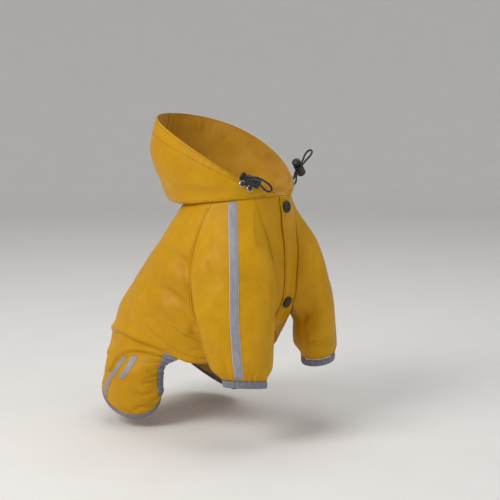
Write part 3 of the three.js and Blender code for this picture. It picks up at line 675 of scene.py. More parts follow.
class Shader:
    """One material's nodes around a Principled BSDF."""

    def __init__(self, name: str, **constants: float) -> None:
        """Starts the material.

        Args:
            name: The finish's name.
            constants: Values of the shader's own sockets, with _ for spaces.
        """
        self.material = bpy.data.materials.new(name)
        self.material.use_nodes = True
        self.tree = self.material.node_tree
        self.principled = self.tree.nodes["Principled BSDF"]
        for socket, value in constants.items():
            self.principled.inputs[socket.replace("_", " ")].default_value = value

    def node(
        self,
        kind: str,
        settings: dict[str, object] | None = None,
        inputs: dict[str | int, object] | None = None,
        output: int | str = 0,
    ) -> Value:
        """Adds a node.

        Args:
            kind: The node's type.
            settings: Its properties; stops are a colour ramp's places and colours.
            inputs: Values or links of its sockets.
            output: The socket that is handed on.

        Returns:
            The output socket as a value.
        """
        node = self.tree.nodes.new(kind)
        for key, value in (settings or {}).items():
            if key == "stops":
                ramp = node.color_ramp.elements
                while len(ramp) < len(value):
                    ramp.new(0.5)
                for element, (place, colour) in zip(ramp, value):
                    element.position, element.color = place, colour
            else:
                setattr(node, key, value)
        for key, value in (inputs or {}).items():
            if isinstance(value, Value):
                self.tree.links.new(value.socket, node.inputs[key])
            else:
                node.inputs[key].default_value = value
        return Value(self, node.outputs[output])

    def feed(self, socket: str, value: Value) -> None:
        """Links a value to a socket of the shader."""
        self.tree.links.new(value.socket, self.principled.inputs[socket])

    def place(self) -> Value:
        """The point on the object, in metres."""
        return self.node("ShaderNodeTexCoord", output="Object")

    def pattern(self) -> Value:
        """The place in the piece's own map of arc lengths, in metres."""
        return self.node("ShaderNodeTexCoord", output="UV")

    def axis(self, vector: Value, letter: str) -> Value:
        """One coordinate of a vector."""
        return self.node("ShaderNodeSeparateXYZ", inputs={0: vector}, output=letter)

    def noise(self, vector: Value, size: float, detail: float = 3.0, rough: float = 0.55) -> Value:
        """Soft noise whose patches are about the given size in millimetres."""
        values = {"Vector": vector, "Scale": 1 / (size * MM), "Detail": detail, "Roughness": rough}
        return self.node("ShaderNodeTexNoise", inputs=values, output=0)

    def stretch(self, vector: Value, scale: tuple[float, float, float]) -> Value:
        """A vector scaled along its axes."""
        return self.node("ShaderNodeMapping", inputs={"Vector": vector, "Scale": scale})

    def bands(self, vector: Value, pitch: float, way: str, distortion: float, detail: float = 1.0) -> Value:
        """Waves along one axis of a vector, whose pitch is in millimetres."""
        settings = {"wave_type": "BANDS", "bands_direction": way}
        scale = WAVE_SCALE / (pitch * MM)
        inputs = {"Vector": vector, "Scale": scale, "Distortion": distortion, "Detail": detail}
        return self.node("ShaderNodeTexWave", settings, inputs, output=1)

    def cells(self, vector: Value, size: float, feature: str) -> Value:
        """The distance to the nearest of scattered points, about a size in millimetres apart."""
        values = {"Vector": vector, "Scale": 1 / (size * MM)}
        return self.node("ShaderNodeTexVoronoi", {"feature": feature}, values, output="Distance")

    def weave(self, vector: Value, thread: float, distortion: float) -> Value:
        """A plain weave: the product of two waves that cross, a thread wide in millimetres."""
        return self.bands(vector, thread, "X", distortion) * self.bands(vector, thread, "Y", distortion)

    def range(
        self, value: Value, low: float, high: float, to_low: float = 0.0, to_high: float = 1.0
    ) -> Value:
        """A value carried from one range to another and held there."""
        sockets = {"Value": value, "From Min": low, "From Max": high, "To Min": to_low, "To Max": to_high}
        return self.node("ShaderNodeMapRange", {"interpolation_type": "SMOOTHSTEP"}, sockets)

    def blend(self, factor: Value, one: object, other: object) -> Value:
        """A colour between two colours."""
        node = self.tree.nodes.new("ShaderNodeMix")
        node.data_type = "RGBA"
        colours = [socket for socket in node.inputs if socket.type == "RGBA"]
        self.tree.links.new(factor.socket, node.inputs[0])
        for socket, value in zip(colours, (one, other)):
            if isinstance(value, Value):
                self.tree.links.new(value.socket, socket)
            else:
                socket.default_value = value
        return Value(self, next(out for out in node.outputs if out.type == "RGBA"))

    def bump(self, height: Value, depth: float, strength: float = 1.0, under: Value | None = None) -> Value:
        """A bumped normal; the depth is the height's full range in millimetres."""
        sockets: dict[str | int, object] = {"Height": height, "Distance": depth * MM, "Strength": strength}
        if under is not None:
            sockets["Normal"] = under
        return self.node("ShaderNodeBump", inputs=sockets)


def colour(red: float, green: float, blue: float) -> tuple[float, float, float, float]:
    """A linear colour from the screen's values of 0 to 255."""
    channels = np.array([red, green, blue]) / 255
    linear = np.where(channels <= 0.04045, channels / 12.92, ((channels + 0.055) / 1.055) ** 2.4)
    return (*map(float, linear), 1.0)


@dataclass(frozen=True)
class CoatedCloth:
    """Mustard cloth with a thin matt coat: a tight weave that just shows, soft crumples and rubbed folds."""

    name: str = "mustard_coated_cloth"
    light: tuple[float, ...] = colour(206, 153, 0)
    main: tuple[float, ...] = colour(197, 144, 0)
    deep: tuple[float, ...] = colour(178, 124, 0)
    thread: float = 0.42
    crumple: float = 14.0

    def make(self) -> bpy.types.Material:
        """Builds the material.

        The weave lies on the piece's own map. Noise at three sizes gives the coat's cloudy tone, the
        small creases that handling leaves, and the grain of the coat.
        """
        shader = Shader(self.name, Specular_IOR_Level=0.2, Coat_Roughness=0.4)
        place, pattern = shader.place(), shader.pattern()
        cloud = shader.noise(place, 55.0, 2.0)
        grain = shader.noise(place, 1.3, 2.0, 0.6)
        crumple = shader.noise(place, self.crumple, 4.0, 0.5)
        crease = shader.node(
            "ShaderNodeTexNoise",
            {"noise_type": "RIDGED_MULTIFRACTAL"},
            {"Vector": place, "Scale": 45.0, "Detail": 2.0, "Roughness": 0.4},
        )
        weave = shader.weave(pattern, self.thread, 0.3)
        tone = shader.blend(shader.range(cloud, 0.35, 0.65), self.main, self.light)
        worn = shader.range(crumple * 0.7 + grain * 0.3, 0.38, 0.62)
        tone = shader.blend(worn * 0.35, tone, self.deep)
        speck = shader.range(grain, 0.3, 0.7)
        shader.feed("Base Color", shader.blend(speck * 0.12 + weave * 0.1, tone, self.light))
        shader.feed("Roughness", shader.range(crumple * 0.5 + grain * 0.5, 0.3, 0.7, 0.42, 0.56))
        shader.feed("Coat Weight", shader.range(cloud, 0.3, 0.7, 0.02, 0.06))
        fine = shader.bump(weave * 0.7 + grain * 0.6, 0.05, 0.6)
        soft = shader.bump(crumple, 0.9, 0.5, fine)
        shader.feed("Normal", shader.bump(crease, 0.35, 0.3, soft))
        return shader.material


@dataclass(frozen=True)
class Lining:
    """The cloth's bare inner side: the same dye, paler and matt, with its weave showing."""

    name: str = "mustard_inner_side"
    main: tuple[float, ...] = colour(190, 138, 22)
    pale: tuple[float, ...] = colour(206, 156, 48)
    thread: float = 0.5

    def make(self) -> bpy.types.Material:
        """Builds the material: a plain weave of two crossed waves over cloudy noise."""
        shader = Shader(self.name, Specular_IOR_Level=0.2, Sheen_Weight=0.2)
        place, pattern = shader.place(), shader.pattern()
        cloud = shader.noise(place, 30.0, 3.0)
        grain = shader.noise(place, 0.9, 2.0)
        weave = shader.weave(pattern, self.thread, 0.4)
        mottle = shader.range(cloud * 0.6 + grain * 0.4, 0.35, 0.65)
        shader.feed("Base Color", shader.blend(mottle, self.main, self.pale))
        shader.feed("Roughness", shader.range(grain, 0.2, 0.8, 0.72, 0.88))
        shader.feed("Normal", shader.bump(weave + grain * 0.4, 0.12, 0.7))
        return shader.material


@dataclass(frozen=True)
class RibbedElastic:
    """Knitted grey heather elastic with ribs across the band."""

    name: str = "grey_heather_elastic"
    # The darker grey gives the yarn's dark flecks and also the painted shade in the rib grooves.
    dark: tuple[float, ...] = colour(88, 89, 104)
    main: tuple[float, ...] = colour(126, 127, 146)
    pale: tuple[float, ...] = colour(160, 161, 178)
    rib: float = 1.15

    def make(self) -> bpy.types.Material:
        """Builds the material: waves along the band for the ribs, with painted shade in their grooves, and
        stretched noise for the mixed yarn.
        """
        shader = Shader(self.name, Specular_IOR_Level=0.25, Sheen_Weight=0.3)
        place, pattern = shader.place(), shader.pattern()
        ribs = shader.bands(pattern, self.rib, "X", 1.2, 2.0)
        yarn = shader.noise(shader.stretch(pattern, (1.0, 0.35, 1.0)), 0.5, 3.0, 0.6)
        fuzz = shader.noise(place, 0.35, 2.0, 0.7)
        heather = shader.range(yarn * 0.7 + fuzz * 0.3, 0.36, 0.64)
        tone = shader.blend(heather, self.main, self.pale)
        # Painted shade: the grooves between the ribs are darkened towards the darker grey.
        groove_shade = shader.range(ribs, 0.0, 0.55, 1.0, 0.0)
        flecks = shader.range(shader.noise(place, 1.6, 3.0, 0.7), 0.5, 0.66)
        tone = shader.blend(groove_shade * 0.7 + flecks * 0.35, tone, self.dark)
        shader.feed("Base Color", tone)
        shader.feed("Roughness", shader.range(fuzz, 0.2, 0.8, 0.78, 0.95))
        shader.feed("Normal", shader.bump(ribs * 0.8 + yarn * 0.3 + fuzz * 0.2, 0.7, 0.9))
        return shader.material


@dataclass(frozen=True)
class ReflectiveTape:
    """Silver tape: a woven ground full of fine beads, with paler bands along both edges."""

    name: str
    width: float
    dark: tuple[float, ...] = colour(140, 141, 152)
    main: tuple[float, ...] = colour(156, 157, 170)
    pale: tuple[float, ...] = colour(186, 187, 196)
    warm: tuple[float, ...] = colour(128, 116, 92)
    bead: float = 0.28

    def make(self) -> bpy.types.Material:
        """Builds the material: the distance from the tape's middle picks edge band, thread line or field."""
        shader = Shader(self.name, Specular_IOR_Level=0.5)
        place, pattern = shader.place(), shader.pattern()
        across = shader.axis(pattern, "X") * (1 / MM)
        middle = shader.node("ShaderNodeMath", {"operation": "ABSOLUTE"}, {0: across - self.width / 2})
        edge = shader.range(middle, self.width / 2 - 1.9, self.width / 2 - 1.3)
        line = shader.range(middle, self.width / 2 - 1.9, self.width / 2 - 1.6) * (
            1.0 - shader.range(middle, self.width / 2 - 1.5, self.width / 2 - 1.2)
        )
        beads = shader.cells(place, self.bead, "F1")
        rub = shader.noise(shader.stretch(pattern, (1.0, 0.3, 1.0)), 4.0, 4.0, 0.65)
        tone = shader.blend(shader.range(rub, 0.38, 0.62), self.dark, self.main)
        tone = shader.blend(edge * 0.7, tone, self.pale)
        tone = shader.blend(line * 0.5, tone, self.warm)
        shader.feed("Base Color", tone)
        shader.feed("Metallic", shader.range(rub, 0.3, 0.7, 0.08, 0.2))
        shader.feed("Roughness", shader.range(rub, 0.3, 0.7, 0.46, 0.58))
        shader.feed("Normal", shader.bump(1.0 - beads + rub * 0.8 - line * 0.8, 0.12, 0.5))
        return shader.material


@dataclass(frozen=True)
class MouldedPlastic:
    """Black moulded plastic with a fine spark grain and paler rubbed spots."""

    name: str = "black_moulded_plastic"
    main: tuple[float, ...] = colour(20, 20, 23)
    rubbed: tuple[float, ...] = colour(52, 52, 56)

    def make(self) -> bpy.types.Material:
        """Builds the material: fine noise for the grain, coarser noise for the rubbed spots."""
        shader = Shader(self.name, Specular_IOR_Level=0.5)
        place = shader.place()
        grain = shader.noise(place, 0.3, 3.0, 0.6)
        rub = shader.noise(place, 3.0, 4.0, 0.6)
        shader.feed("Base Color", shader.blend(shader.range(rub, 0.5, 0.75), self.main, self.rubbed))
        shader.feed("Roughness", shader.range(grain * 0.5 + rub * 0.5, 0.35, 0.65, 0.26, 0.46))
        shader.feed("Normal", shader.bump(grain, 0.03, 0.5))
        return shader.material


@dataclass(frozen=True)
class ElasticCord:
    """Round elastic cord with a black braided cover: two spirals that cross."""

    name: str = "black_braided_cord"
    main: tuple[float, ...] = colour(16, 16, 19)
    # A paler grey painted on the raised middles of the strands as a highlight.
    sheen: tuple[float, ...] = colour(58, 58, 64)
    strand: float = 0.7

    def make(self) -> bpy.types.Material:
        """Builds the material: noise patches that stand for the braid's strands, raised, with a painted
        highlight that makes their middles paler.
        """
        shader = Shader(self.name, Specular_IOR_Level=0.35, Sheen_Weight=0.25)
        place = shader.place()
        strands = shader.cells(place, self.strand, "SMOOTH_F1")
        fuzz = shader.noise(place, 0.3, 2.0)
        # Painted highlight: the raised middle of each strand is made paler.
        ridge = shader.range(strands, 0.1, 0.6, 0.6, 0.0)
        shader.feed("Base Color", shader.blend(ridge, self.main, self.sheen))
        shader.feed("Roughness", shader.range(fuzz, 0.2, 0.8, 0.6, 0.8))
        shader.feed("Normal", shader.bump(1.0 - strands + fuzz * 0.3, 0.3, 0.8))
        return shader.material


@dataclass(frozen=True)
class NickelSteel:
    """Nickel-plated steel with faint drawing marks and dull spots."""

    name: str = "nickel_steel"
    main: tuple[float, ...] = colour(196, 196, 200)
    dull: tuple[float, ...] = colour(150, 150, 156)

    def make(self) -> bpy.types.Material:
        """Builds the material: noise stretched along one axis for the marks."""
        shader = Shader(self.name, Metallic=1.0)
        place = shader.place()
        marks = shader.noise(shader.stretch(place, (1.0, 1.0, 6.0)), 1.0, 4.0, 0.7)
        shader.feed("Base Color", shader.blend(shader.range(marks, 0.4, 0.7), self.main, self.dull))
        shader.feed("Roughness", shader.range(marks, 0.3, 0.7, 0.2, 0.38))
        shader.feed("Normal", shader.bump(marks, 0.02, 0.4))
        return shader.material


@dataclass(frozen=True)
class Thread:
    """Spun sewing thread, twisted along its length."""

    name: str
    main: tuple[float, ...]
    dark: tuple[float, ...]

    def make(self) -> bpy.types.Material:
        """Builds the material: fine noise mixes the two tones and roughens the yarn."""
        shader = Shader(self.name, Specular_IOR_Level=0.3)
        fuzz = shader.noise(shader.place(), 0.25, 3.0, 0.6)
        shader.feed("Base Color", shader.blend(shader.range(fuzz, 0.4, 0.6), self.main, self.dark))
        shader.feed("Roughness", shader.range(fuzz, 0.2, 0.8, 0.6, 0.85))
        shader.feed("Normal", shader.bump(fuzz, 0.08, 0.6))
        return shader.material


SLEEVE_TAPE_WIDTH = 9.0
LEG_TAPE_WIDTH = 7.0


@dataclass
class Finishes:
    """Every material of the coat, made once."""

    cloth: bpy.types.Material = field(default_factory=lambda: CoatedCloth().make())
    lining: bpy.types.Material = field(default_factory=lambda: Lining().make())
    elastic: bpy.types.Material = field(default_factory=lambda: RibbedElastic().make())
    sleeve_tape: bpy.types.Material = field(
        default_factory=lambda: ReflectiveTape("silver_sleeve_tape", SLEEVE_TAPE_WIDTH).make()
    )
    leg_tape: bpy.types.Material = field(
        default_factory=lambda: ReflectiveTape("silver_leg_tape", LEG_TAPE_WIDTH).make()
    )
    plastic: bpy.types.Material = field(default_factory=lambda: MouldedPlastic().make())
    cord: bpy.types.Material = field(default_factory=lambda: ElasticCord().make())
    steel: bpy.types.Material = field(default_factory=lambda: NickelSteel().make())
    yellow_thread: bpy.types.Material = field(
        default_factory=lambda: Thread("mustard_thread", colour(186, 130, 4), colour(140, 94, 0)).make()
    )


def finish_piece(
    obj: bpy.types.Object,
    materials: Sequence[bpy.types.Material],
    nodes: Sequence[str],
    body: str = BODY_FRAME,
) -> bpy.types.Object:
    """Dresses a piece, hides the CAD nodes that it stands for and lets it ride on its body.

    Args:
        obj: The piece.
        materials: Its materials in order.
        nodes: The CAD nodes that it replaces.
        body: The CAD body that carries it.

    Returns:
        The same piece.
    """
    for material in materials:
        obj.data.materials.append(material)
    if nodes:
        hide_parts(*nodes)
    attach(obj, body)
    LOG.info("made %s", obj.name)
    return obj


@dataclass(frozen=True)
class Stitching:
    """Rows of short stitches, each a small capsule that is half sunk in the cloth."""

    pitch: float = 3.1
    length: float = 2.25
    radius: float = 0.27
    sides: int = 6

    def capsule(self) -> tuple[Array, list[list[int]]]:
        """One stitch along X with a length of one and a radius of one."""
        rings = np.array([(-0.5, 0.35), (-0.44, 0.8), (-0.3, 1.0), (0.3, 1.0), (0.44, 0.8), (0.5, 0.35)])
        angle = np.arange(self.sides) * 2 * np.pi / self.sides
        x = np.repeat(rings[:, 0], self.sides)
        y = np.outer(rings[:, 1], np.cos(angle)).ravel()
        z = np.outer(rings[:, 1], np.sin(angle)).ravel()
        faces = [
            [i * self.sides + j, i * self.sides + (j + 1) % self.sides]
            + [(i + 1) * self.sides + (j + 1) % self.sides, (i + 1) * self.sides + j]
            for i in range(len(rings) - 1)
            for j in range(self.sides)
        ]
        last = (len(rings) - 1) * self.sides
        faces += [list(range(self.sides))[::-1], [last + j for j in range(self.sides)]]
        return np.column_stack([x, y, z]), [face[::-1] for face in faces]

    def along(self, lines: Sequence[tuple[Array, Array]]) -> tuple[Array, list[list[int]]]:
        """Stitches along lines.

        Each line is cut at even distances; a stitch spans most of the pitch and takes its frame from
        the line's direction and the cloth's normal.

        Args:
            lines: For each line its points and the cloth's normals, in millimetres.

        Returns:
            All the vertices and faces.
        """
        shape, faces = self.capsule()
        vertices, corners, offset = [], [], 0
        for points, normals in lines:
            step = np.linalg.norm(np.diff(points, axis=0), axis=1)
            run = np.concatenate([[0.0], np.cumsum(step)])
            centres = np.arange(self.pitch / 2, run[-1] - self.pitch / 3, self.pitch)
            sample = lambda at: np.stack([np.interp(at, run, points[:, k]) for k in range(3)], axis=1)
            up = unit(np.stack([np.interp(centres, run, normals[:, k]) for k in range(3)], axis=1))
            ahead = unit(sample(centres + self.length / 2) - sample(centres - self.length / 2))
            across = unit(np.cross(up, ahead))
            local = shape * np.array([self.length, self.radius, self.radius])
            moved = sum(local[None, :, k, None] * axis[:, None] for k, axis in enumerate((ahead, across, up)))
            vertices.append((moved + sample(centres)[:, None]).reshape(-1, 3))
            for k in range(len(centres)):
                corners += [[offset + k * len(shape) + corner for corner in face] for face in faces]
            offset += len(centres) * len(shape)
        return np.vstack(vertices), corners


def stitch_piece(
    name: str,
    lines: Sequence[tuple[Array, Array]],
    thread: bpy.types.Material,
    kind: Stitching = Stitching(),
) -> bpy.types.Object:
    """One piece that holds several rows of stitches."""
    vertices, faces = kind.along(lines)
    return finish_piece(mesh_piece(name, vertices, faces), [thread], [])


def line_on(surface: Surface, s: Array, t: Array, lift: float = 0.04) -> tuple[Array, Array]:
    """A line on a surface as points and normals."""
    s, t = np.broadcast_arrays(np.asarray(s, float), np.asarray(t, float))
    return surface.at(s, t, lift), surface.normal(s, t)


def mirrored(path: Sequence[Sequence[float]], shift: Sequence[float]) -> tuple[tuple[float, float], ...]:
    """A fold's path on the other side, moved a little so that the sides differ."""
    return tuple((u + shift[0], -v + shift[1]) for u, v in path)


def body_folds() -> list[Fold]:
    """The folds of the body, drawn on the right side and repeated with small changes on the left."""
    drawn = [
        (((0.352, -112), (0.358, -99), (0.39, -89), (0.437, -83), (0.52, -76)), 4.6, 6.0),
        (((0.58, -112), (0.59, -97), (0.637, -86), (0.683, -77), (0.735, -68)), 3.6, 4.8),
        (((0.455, -105), (0.47, -93), (0.541, -82), (0.645, -74)), 3.0, 7.0, Crease.RIDGE),
        (((0.697, -105), (0.697, -92), (0.749, -82), (0.8, -71), (0.827, -64)), 2.8, 5.5, Crease.RIDGE),
        (((0.819, -102), (0.806, -95), (0.828, -90), (0.85, -85)), 2.2, 3.6),
        (((0.758, -65), (0.816, -65), (0.849, -60), (0.893, -55)), 2.2, 2.6),
        (((0.858, -69), (0.863, -64), (0.886, -58), (0.928, -52)), 1.9, 2.2),
        (((0.935, -63), (0.922, -59), (0.939, -53)), 1.3, 1.8),
        (((0.97, -74), (0.965, -92), (0.96, -110), (0.965, -135), (0.97, -160)), 3.2, 5.0, Crease.RIDGE),
        (((0.15, -150), (0.3, -140), (0.46, -132), (0.6, -126)), 1.2, 9.0),
        (((0.6, -150), (0.7, -135), (0.8, -122), (0.88, -108)), 1.4, 7.0),
    ]
    folds = []
    for i, (path, height, width, *kind) in enumerate(drawn):
        folds.append(Fold(path, height, width, *kind))
        shift = (0.012 * math.sin(3.1 * i + 1), 3.0 * math.sin(2.3 * i))
        folds.append(Fold(mirrored(path, shift), height * (0.85 + 0.15 * math.cos(5 * i)), width, *kind))
    folds += [
        Fold(((0.3, -6), (0.45, -9), (0.62, -12)), 0.9, 6.0),
        Fold(((0.42, 14), (0.55, 12), (0.7, 16)), 1.0, 5.0),
        Fold(((0.86, -30), (0.9, -20), (0.93, -12)), 0.8, 3.0),
        Fold(((0.86, 30), (0.9, 21), (0.94, 14)), 0.8, 3.0),
    ]
    return folds


FOLD_FADE = 6.0


def body_ease(u: Array, v: Array) -> Array:
    """The share of the folds that holds near the seams: it falls to nought over FOLD_FADE millimetres."""
    angle = folded(v)
    front, rear = RAGLAN(seam_down(u))
    to_raglan = np.minimum(np.abs(angle - front), np.abs(angle - rear))
    beside = np.where(u < ARMPIT_U, to_raglan, np.abs(angle - ARMPIT_V))
    distance = np.minimum(beside * MM_PER_DEGREE, np.minimum(u, 1 - u) * BODY_LENGTH)
    return smooth(distance / FOLD_FADE)


# The casing of the belly hem: its upper stitch line on the body, as u and the angle from the chest.
CASING_LINES = (
    ((0.848, 98), (0.892, 90), (0.918, 82), (0.942, 76), (0.953, 70), (0.957, 61), (0.962, 55), (0.958, 46)),
    ((0.819, 80), (0.839, 72), (0.853, 67), (0.865, 63), (0.879, 55), (0.884, 46)),
)


def small_waves(u: Array, v: Array) -> Array:
    """Puckers along the belly hem, and the cloth's slight unevenness everywhere, in millimetres."""
    angle = np.radians(v)
    uneven = 0.25 * np.sin(7 * angle + 9 * u) * np.sin(23 * u + 2 * angle)
    uneven = uneven + 0.12 * np.sin(17 * angle - 31 * u)
    hem = smooth((u - 0.93) / 0.05) * smooth((85 - folded(v)) / 12)
    pucker = 0.32 * hem * np.sin(95 * angle + 3 * np.sin(11 * angle)) * (1 - u) / 0.07
    return (uneven * body_ease(u, v)) + pucker * smooth((1 - u) * BODY_LENGTH / 3)


def make_body() -> Surface:
    """The body's surface with its folds."""
    return Surface(
        body_point, (-20, 0, -60), (0.4, 90.0), body_folds(), body_ease, small_waves, (0.0, 1.0, -1e9, 1e9)
    )


@dataclass
class Body:
    """The back panel, the two fronts and the placket, with their stitching."""

    finishes: Finishes
    surface: Surface
    rows_above: int = 84
    rows_below: int = 34
    across_back: int = 170
    across_front: int = 46
    front_lap: float = 9.0
    placket_from: float = -5.0
    placket_to: float = 12.0
    placket_end: float = 0.975
    placket_lift: float = 1.35
    placket_sunk: float = 0.1

    def ring_angle(self, u: Array, distance: float) -> Array:
        """The angle of a distance in millimetres across the chest, from its middle."""
        step = 0.5
        ends = [body_point(u, np.full_like(u, way)) for way in (step, -step)]
        width = np.linalg.norm(ends[0] - ends[1], axis=-1)
        return distance / width * 2 * step

    def rows(self, end: Edge) -> tuple[Array, Array]:
        """The rings' places u, dense down the armhole, and their dips.

        Args:
            end: How the panel ends at the bottom.

        Returns:
            The rows' places and dips.
        """
        shares, dips = spread(BODY_LENGTH, self.rows_above, Edge.SEAM, end)
        near = shares[0] * ARMPIT_U
        top = near[near < ARMPIT_U * 0.9]
        down = np.linspace(float(seam_down(top[-1])), 1.0, 26)[1:]
        below, below_dips = spread(BODY_LENGTH * (1 - ARMPIT_U), self.rows_below, Edge.FLAT, end)
        lower = mix(ARMPIT_U, 1.0, below[0])[1:]
        places = np.concatenate([top, ARMPIT_U * sine(90 * down), lower])
        return places, np.concatenate([dips[: len(top)], np.zeros(len(down)), below_dips[1:]])

    def sheet(self, name: str, u: Array, v: Array, dips: Array, nodes: Sequence[str]) -> bpy.types.Object:
        """A panel of the body, its borders turned down and its wall laid inward."""
        points = self.surface.at(u, v, -dips)
        obj = grid_piece(name, points, self.surface.normal(u, v))
        thicken(obj, CLOTH)
        finish_piece(obj, [self.finishes.cloth, self.finishes.lining], nodes)
        sheet_area(points)
        return obj

    def back(self) -> None:
        """The back: from the right rear seam over the back to the left rear seam."""
        rows, row_dips = self.rows(Edge.SEAM)
        edge = np.where(rows < ARMPIT_U, RAGLAN(seam_down(rows))[1], ARMPIT_V)
        width = (360 - 2 * edge) * MM_PER_DEGREE
        shares, dips = spread(width, self.across_back, Edge.SEAM, Edge.SEAM)
        v = -mix(edge[:, None], 360 - edge[:, None], shares)
        u = np.broadcast_to(rows[:, None], v.shape)
        self.sheet("back_panel_cloth", u, v, np.maximum(row_dips[:, None], dips[None]), ["back_panel"])

    def front(self, side: Side) -> None:
        """A front: from its raglan seam to the edge under the placket."""
        rows, row_dips = self.rows(Edge.FOLDED)
        edge = np.where(rows < ARMPIT_U, RAGLAN(seam_down(rows))[0], ARMPIT_V)
        past = self.ring_angle(rows, -self.front_lap if side is Side.RIGHT else self.front_lap)
        width = (edge - past) * MM_PER_DEGREE
        shares, dips = spread(width, self.across_front, Edge.SEAM, Edge.FLAT)
        v = side.value * mix(edge[:, None], past[:, None], shares)
        u = np.broadcast_to(rows[:, None], v.shape)
        name = f"front_cloth_{side.word}"
        self.sheet(name, u, v, np.maximum(row_dips[:, None], dips[None]), [f"front_{side.word}"])

    def stand(self, u: Array, distance: Array) -> Array:
        """How far the placket stands off the fronts: most at its free edge, high on the chest."""
        gape = smooth((u - 0.02) / 0.1) * smooth((0.55 - u) / 0.35)
        return 1.1 * gape * smooth((2.0 - distance) / 8.0) + 0.12 * np.sin(60 * u)

    def placket(self) -> None:
        """The band down the chest: its free edge stands off the front as a narrow slit."""
        shares, row_dips = spread(BODY_LENGTH, 120, Edge.SEAM, Edge.FOLDED)
        rows = shares[0] * self.placket_end
        band_width = np.full(len(rows), self.placket_to - self.placket_from)
        cross, dips = spread(band_width, 14, Edge.FOLDED, Edge.SEAM)
        distance = mix(self.placket_from, self.placket_to, cross)
        v = self.ring_angle(rows, 1.0)[:, None] * distance
        u = np.broadcast_to(rows[:, None], v.shape)
        lift = mix(self.placket_lift, self.placket_sunk, smooth((distance - 5.0) / 6.0))
        lift = lift + self.stand(rows[:, None], distance)
        lift = lift - np.maximum(row_dips[:, None], dips[None])
        points = self.surface.at(u, v, lift)
        obj = grid_piece("placket_cloth", points, self.surface.normal(u, v))
        thicken(obj, CLOTH)
        finish_piece(obj, [self.finishes.cloth, self.finishes.lining], ["placket"])
        u_line = np.linspace(0.012, self.placket_end - 0.012, 200)
        beside = self.placket_from + 2.0
        angle = self.ring_angle(u_line, 1.0) * beside
        lift = self.placket_lift + 0.05 + self.stand(u_line, beside)
        lines = [line_on(self.surface, u_line, angle, lift)]
        stitch_piece("placket_stitches", lines, self.finishes.yellow_thread)

    def seams(self) -> None:
        """Top stitches beside the raglan seams, the side seams and the hems, and the casing's lines."""
        down = np.linspace(0.03, 0.97, 160)
        u = ARMPIT_U * sine(90 * down)
        front, rear = RAGLAN(down)
        lines = []
        for sign in (-1, 1):
            beside = 1.9 / MM_PER_DEGREE
            lines.append(line_on(self.surface, u, sign * (rear + beside)))
            lines.append(line_on(self.surface, u, sign * (front - beside)))
            hem = np.linspace(ARMPIT_V + 1.5, WAIST_FRONT - 1, 70)
            lines.append(line_on(self.surface, np.full(70, 1 - 2.2 / BODY_LENGTH), sign * hem))
            for knots in CASING_LINES:
                path = Table(np.column_stack([np.linspace(0, 1, len(knots)), knots]))
                casing_u, casing_v = path(np.linspace(0, 1, 140))
                lines.append(line_on(self.surface, casing_u, sign * casing_v))
        chest = np.linspace(-ARMPIT_V + 1.5, ARMPIT_V - 1.5, 160)
        for back in (2.2, 7.5):
            lines.append(line_on(self.surface, np.full(160, 1 - back / BODY_LENGTH), chest))
        stitch_piece("body_stitches", lines, self.finishes.yellow_thread)

    def build(self) -> None:
        """Makes every piece of the body."""
        self.back()
        for side in Side:
            self.front(side)
        self.placket()
        self.seams()


def sleeve_folds(side: Side) -> list[Fold]:
    """A sleeve's folds: its own on each side."""
    if side is Side.RIGHT:
        drawn = [
            (((0.482, 0.426), (0.445, 0.428), (0.396, 0.448), (0.356, 0.46), (0.322, 0.447)), 1.62, 3.68),
            (((0.482, 0.532), (0.462, 0.578), (0.446, 0.612)), 1.08, 2.76),
            (((0.65, 0.131), (0.63, 0.278), (0.595, 0.379), (0.567, 0.472)), 2.16, 5.52),
            (((0.606, 0.853), (0.577, 0.911), (0.585, 0.987)), 1.35, 2.76),
            (((0.353, 0.712), (0.328, 0.789), (0.305, 0.881)), 1.35, 3.22),
            (((0.466, 0.888), (0.422, 0.923), (0.396, 0.984)), 1.22, 2.39),
            (((0.275, 0.23), (0.275, 0.389), (0.265, 0.512)), 1.62, 4.6),
            (((0.7, 0.35), (0.68, 0.5), (0.66, 0.64)), 1.62, 4.6),
            (((0.72, 0.72), (0.66, 0.8), (0.64, 0.9)), 1.35, 3.22),
        ]
    else:
        drawn = [
            (((0.315, 0.215), (0.276, 0.165), (0.246, 0.133)), 2.16, 2.76),
            (((0.095, 0.089), (0.074, 0.361), (0.102, 0.652), (0.09, 0.877)), 1.89, 3.68),
            (((0.116, 0.713), (0.15, 0.7), (0.196, 0.779), (0.242, 0.926)), 1.35, 3.22),
            (((0.33, 0.42), (0.37, 0.5), (0.42, 0.56)), 1.49, 3.68),
            (((0.56, 0.2), (0.58, 0.34), (0.57, 0.5)), 1.62, 4.6),
            (((0.3, 0.74), (0.34, 0.83), (0.35, 0.95)), 1.22, 2.76),
            (((0.66, 0.42), (0.64, 0.56), (0.62, 0.68)), 1.62, 4.6),
            (((0.7, 0.76), (0.65, 0.84), (0.63, 0.94)), 1.35, 2.94),
        ]
    return [Fold(path, height, width) for path, height, width in drawn]


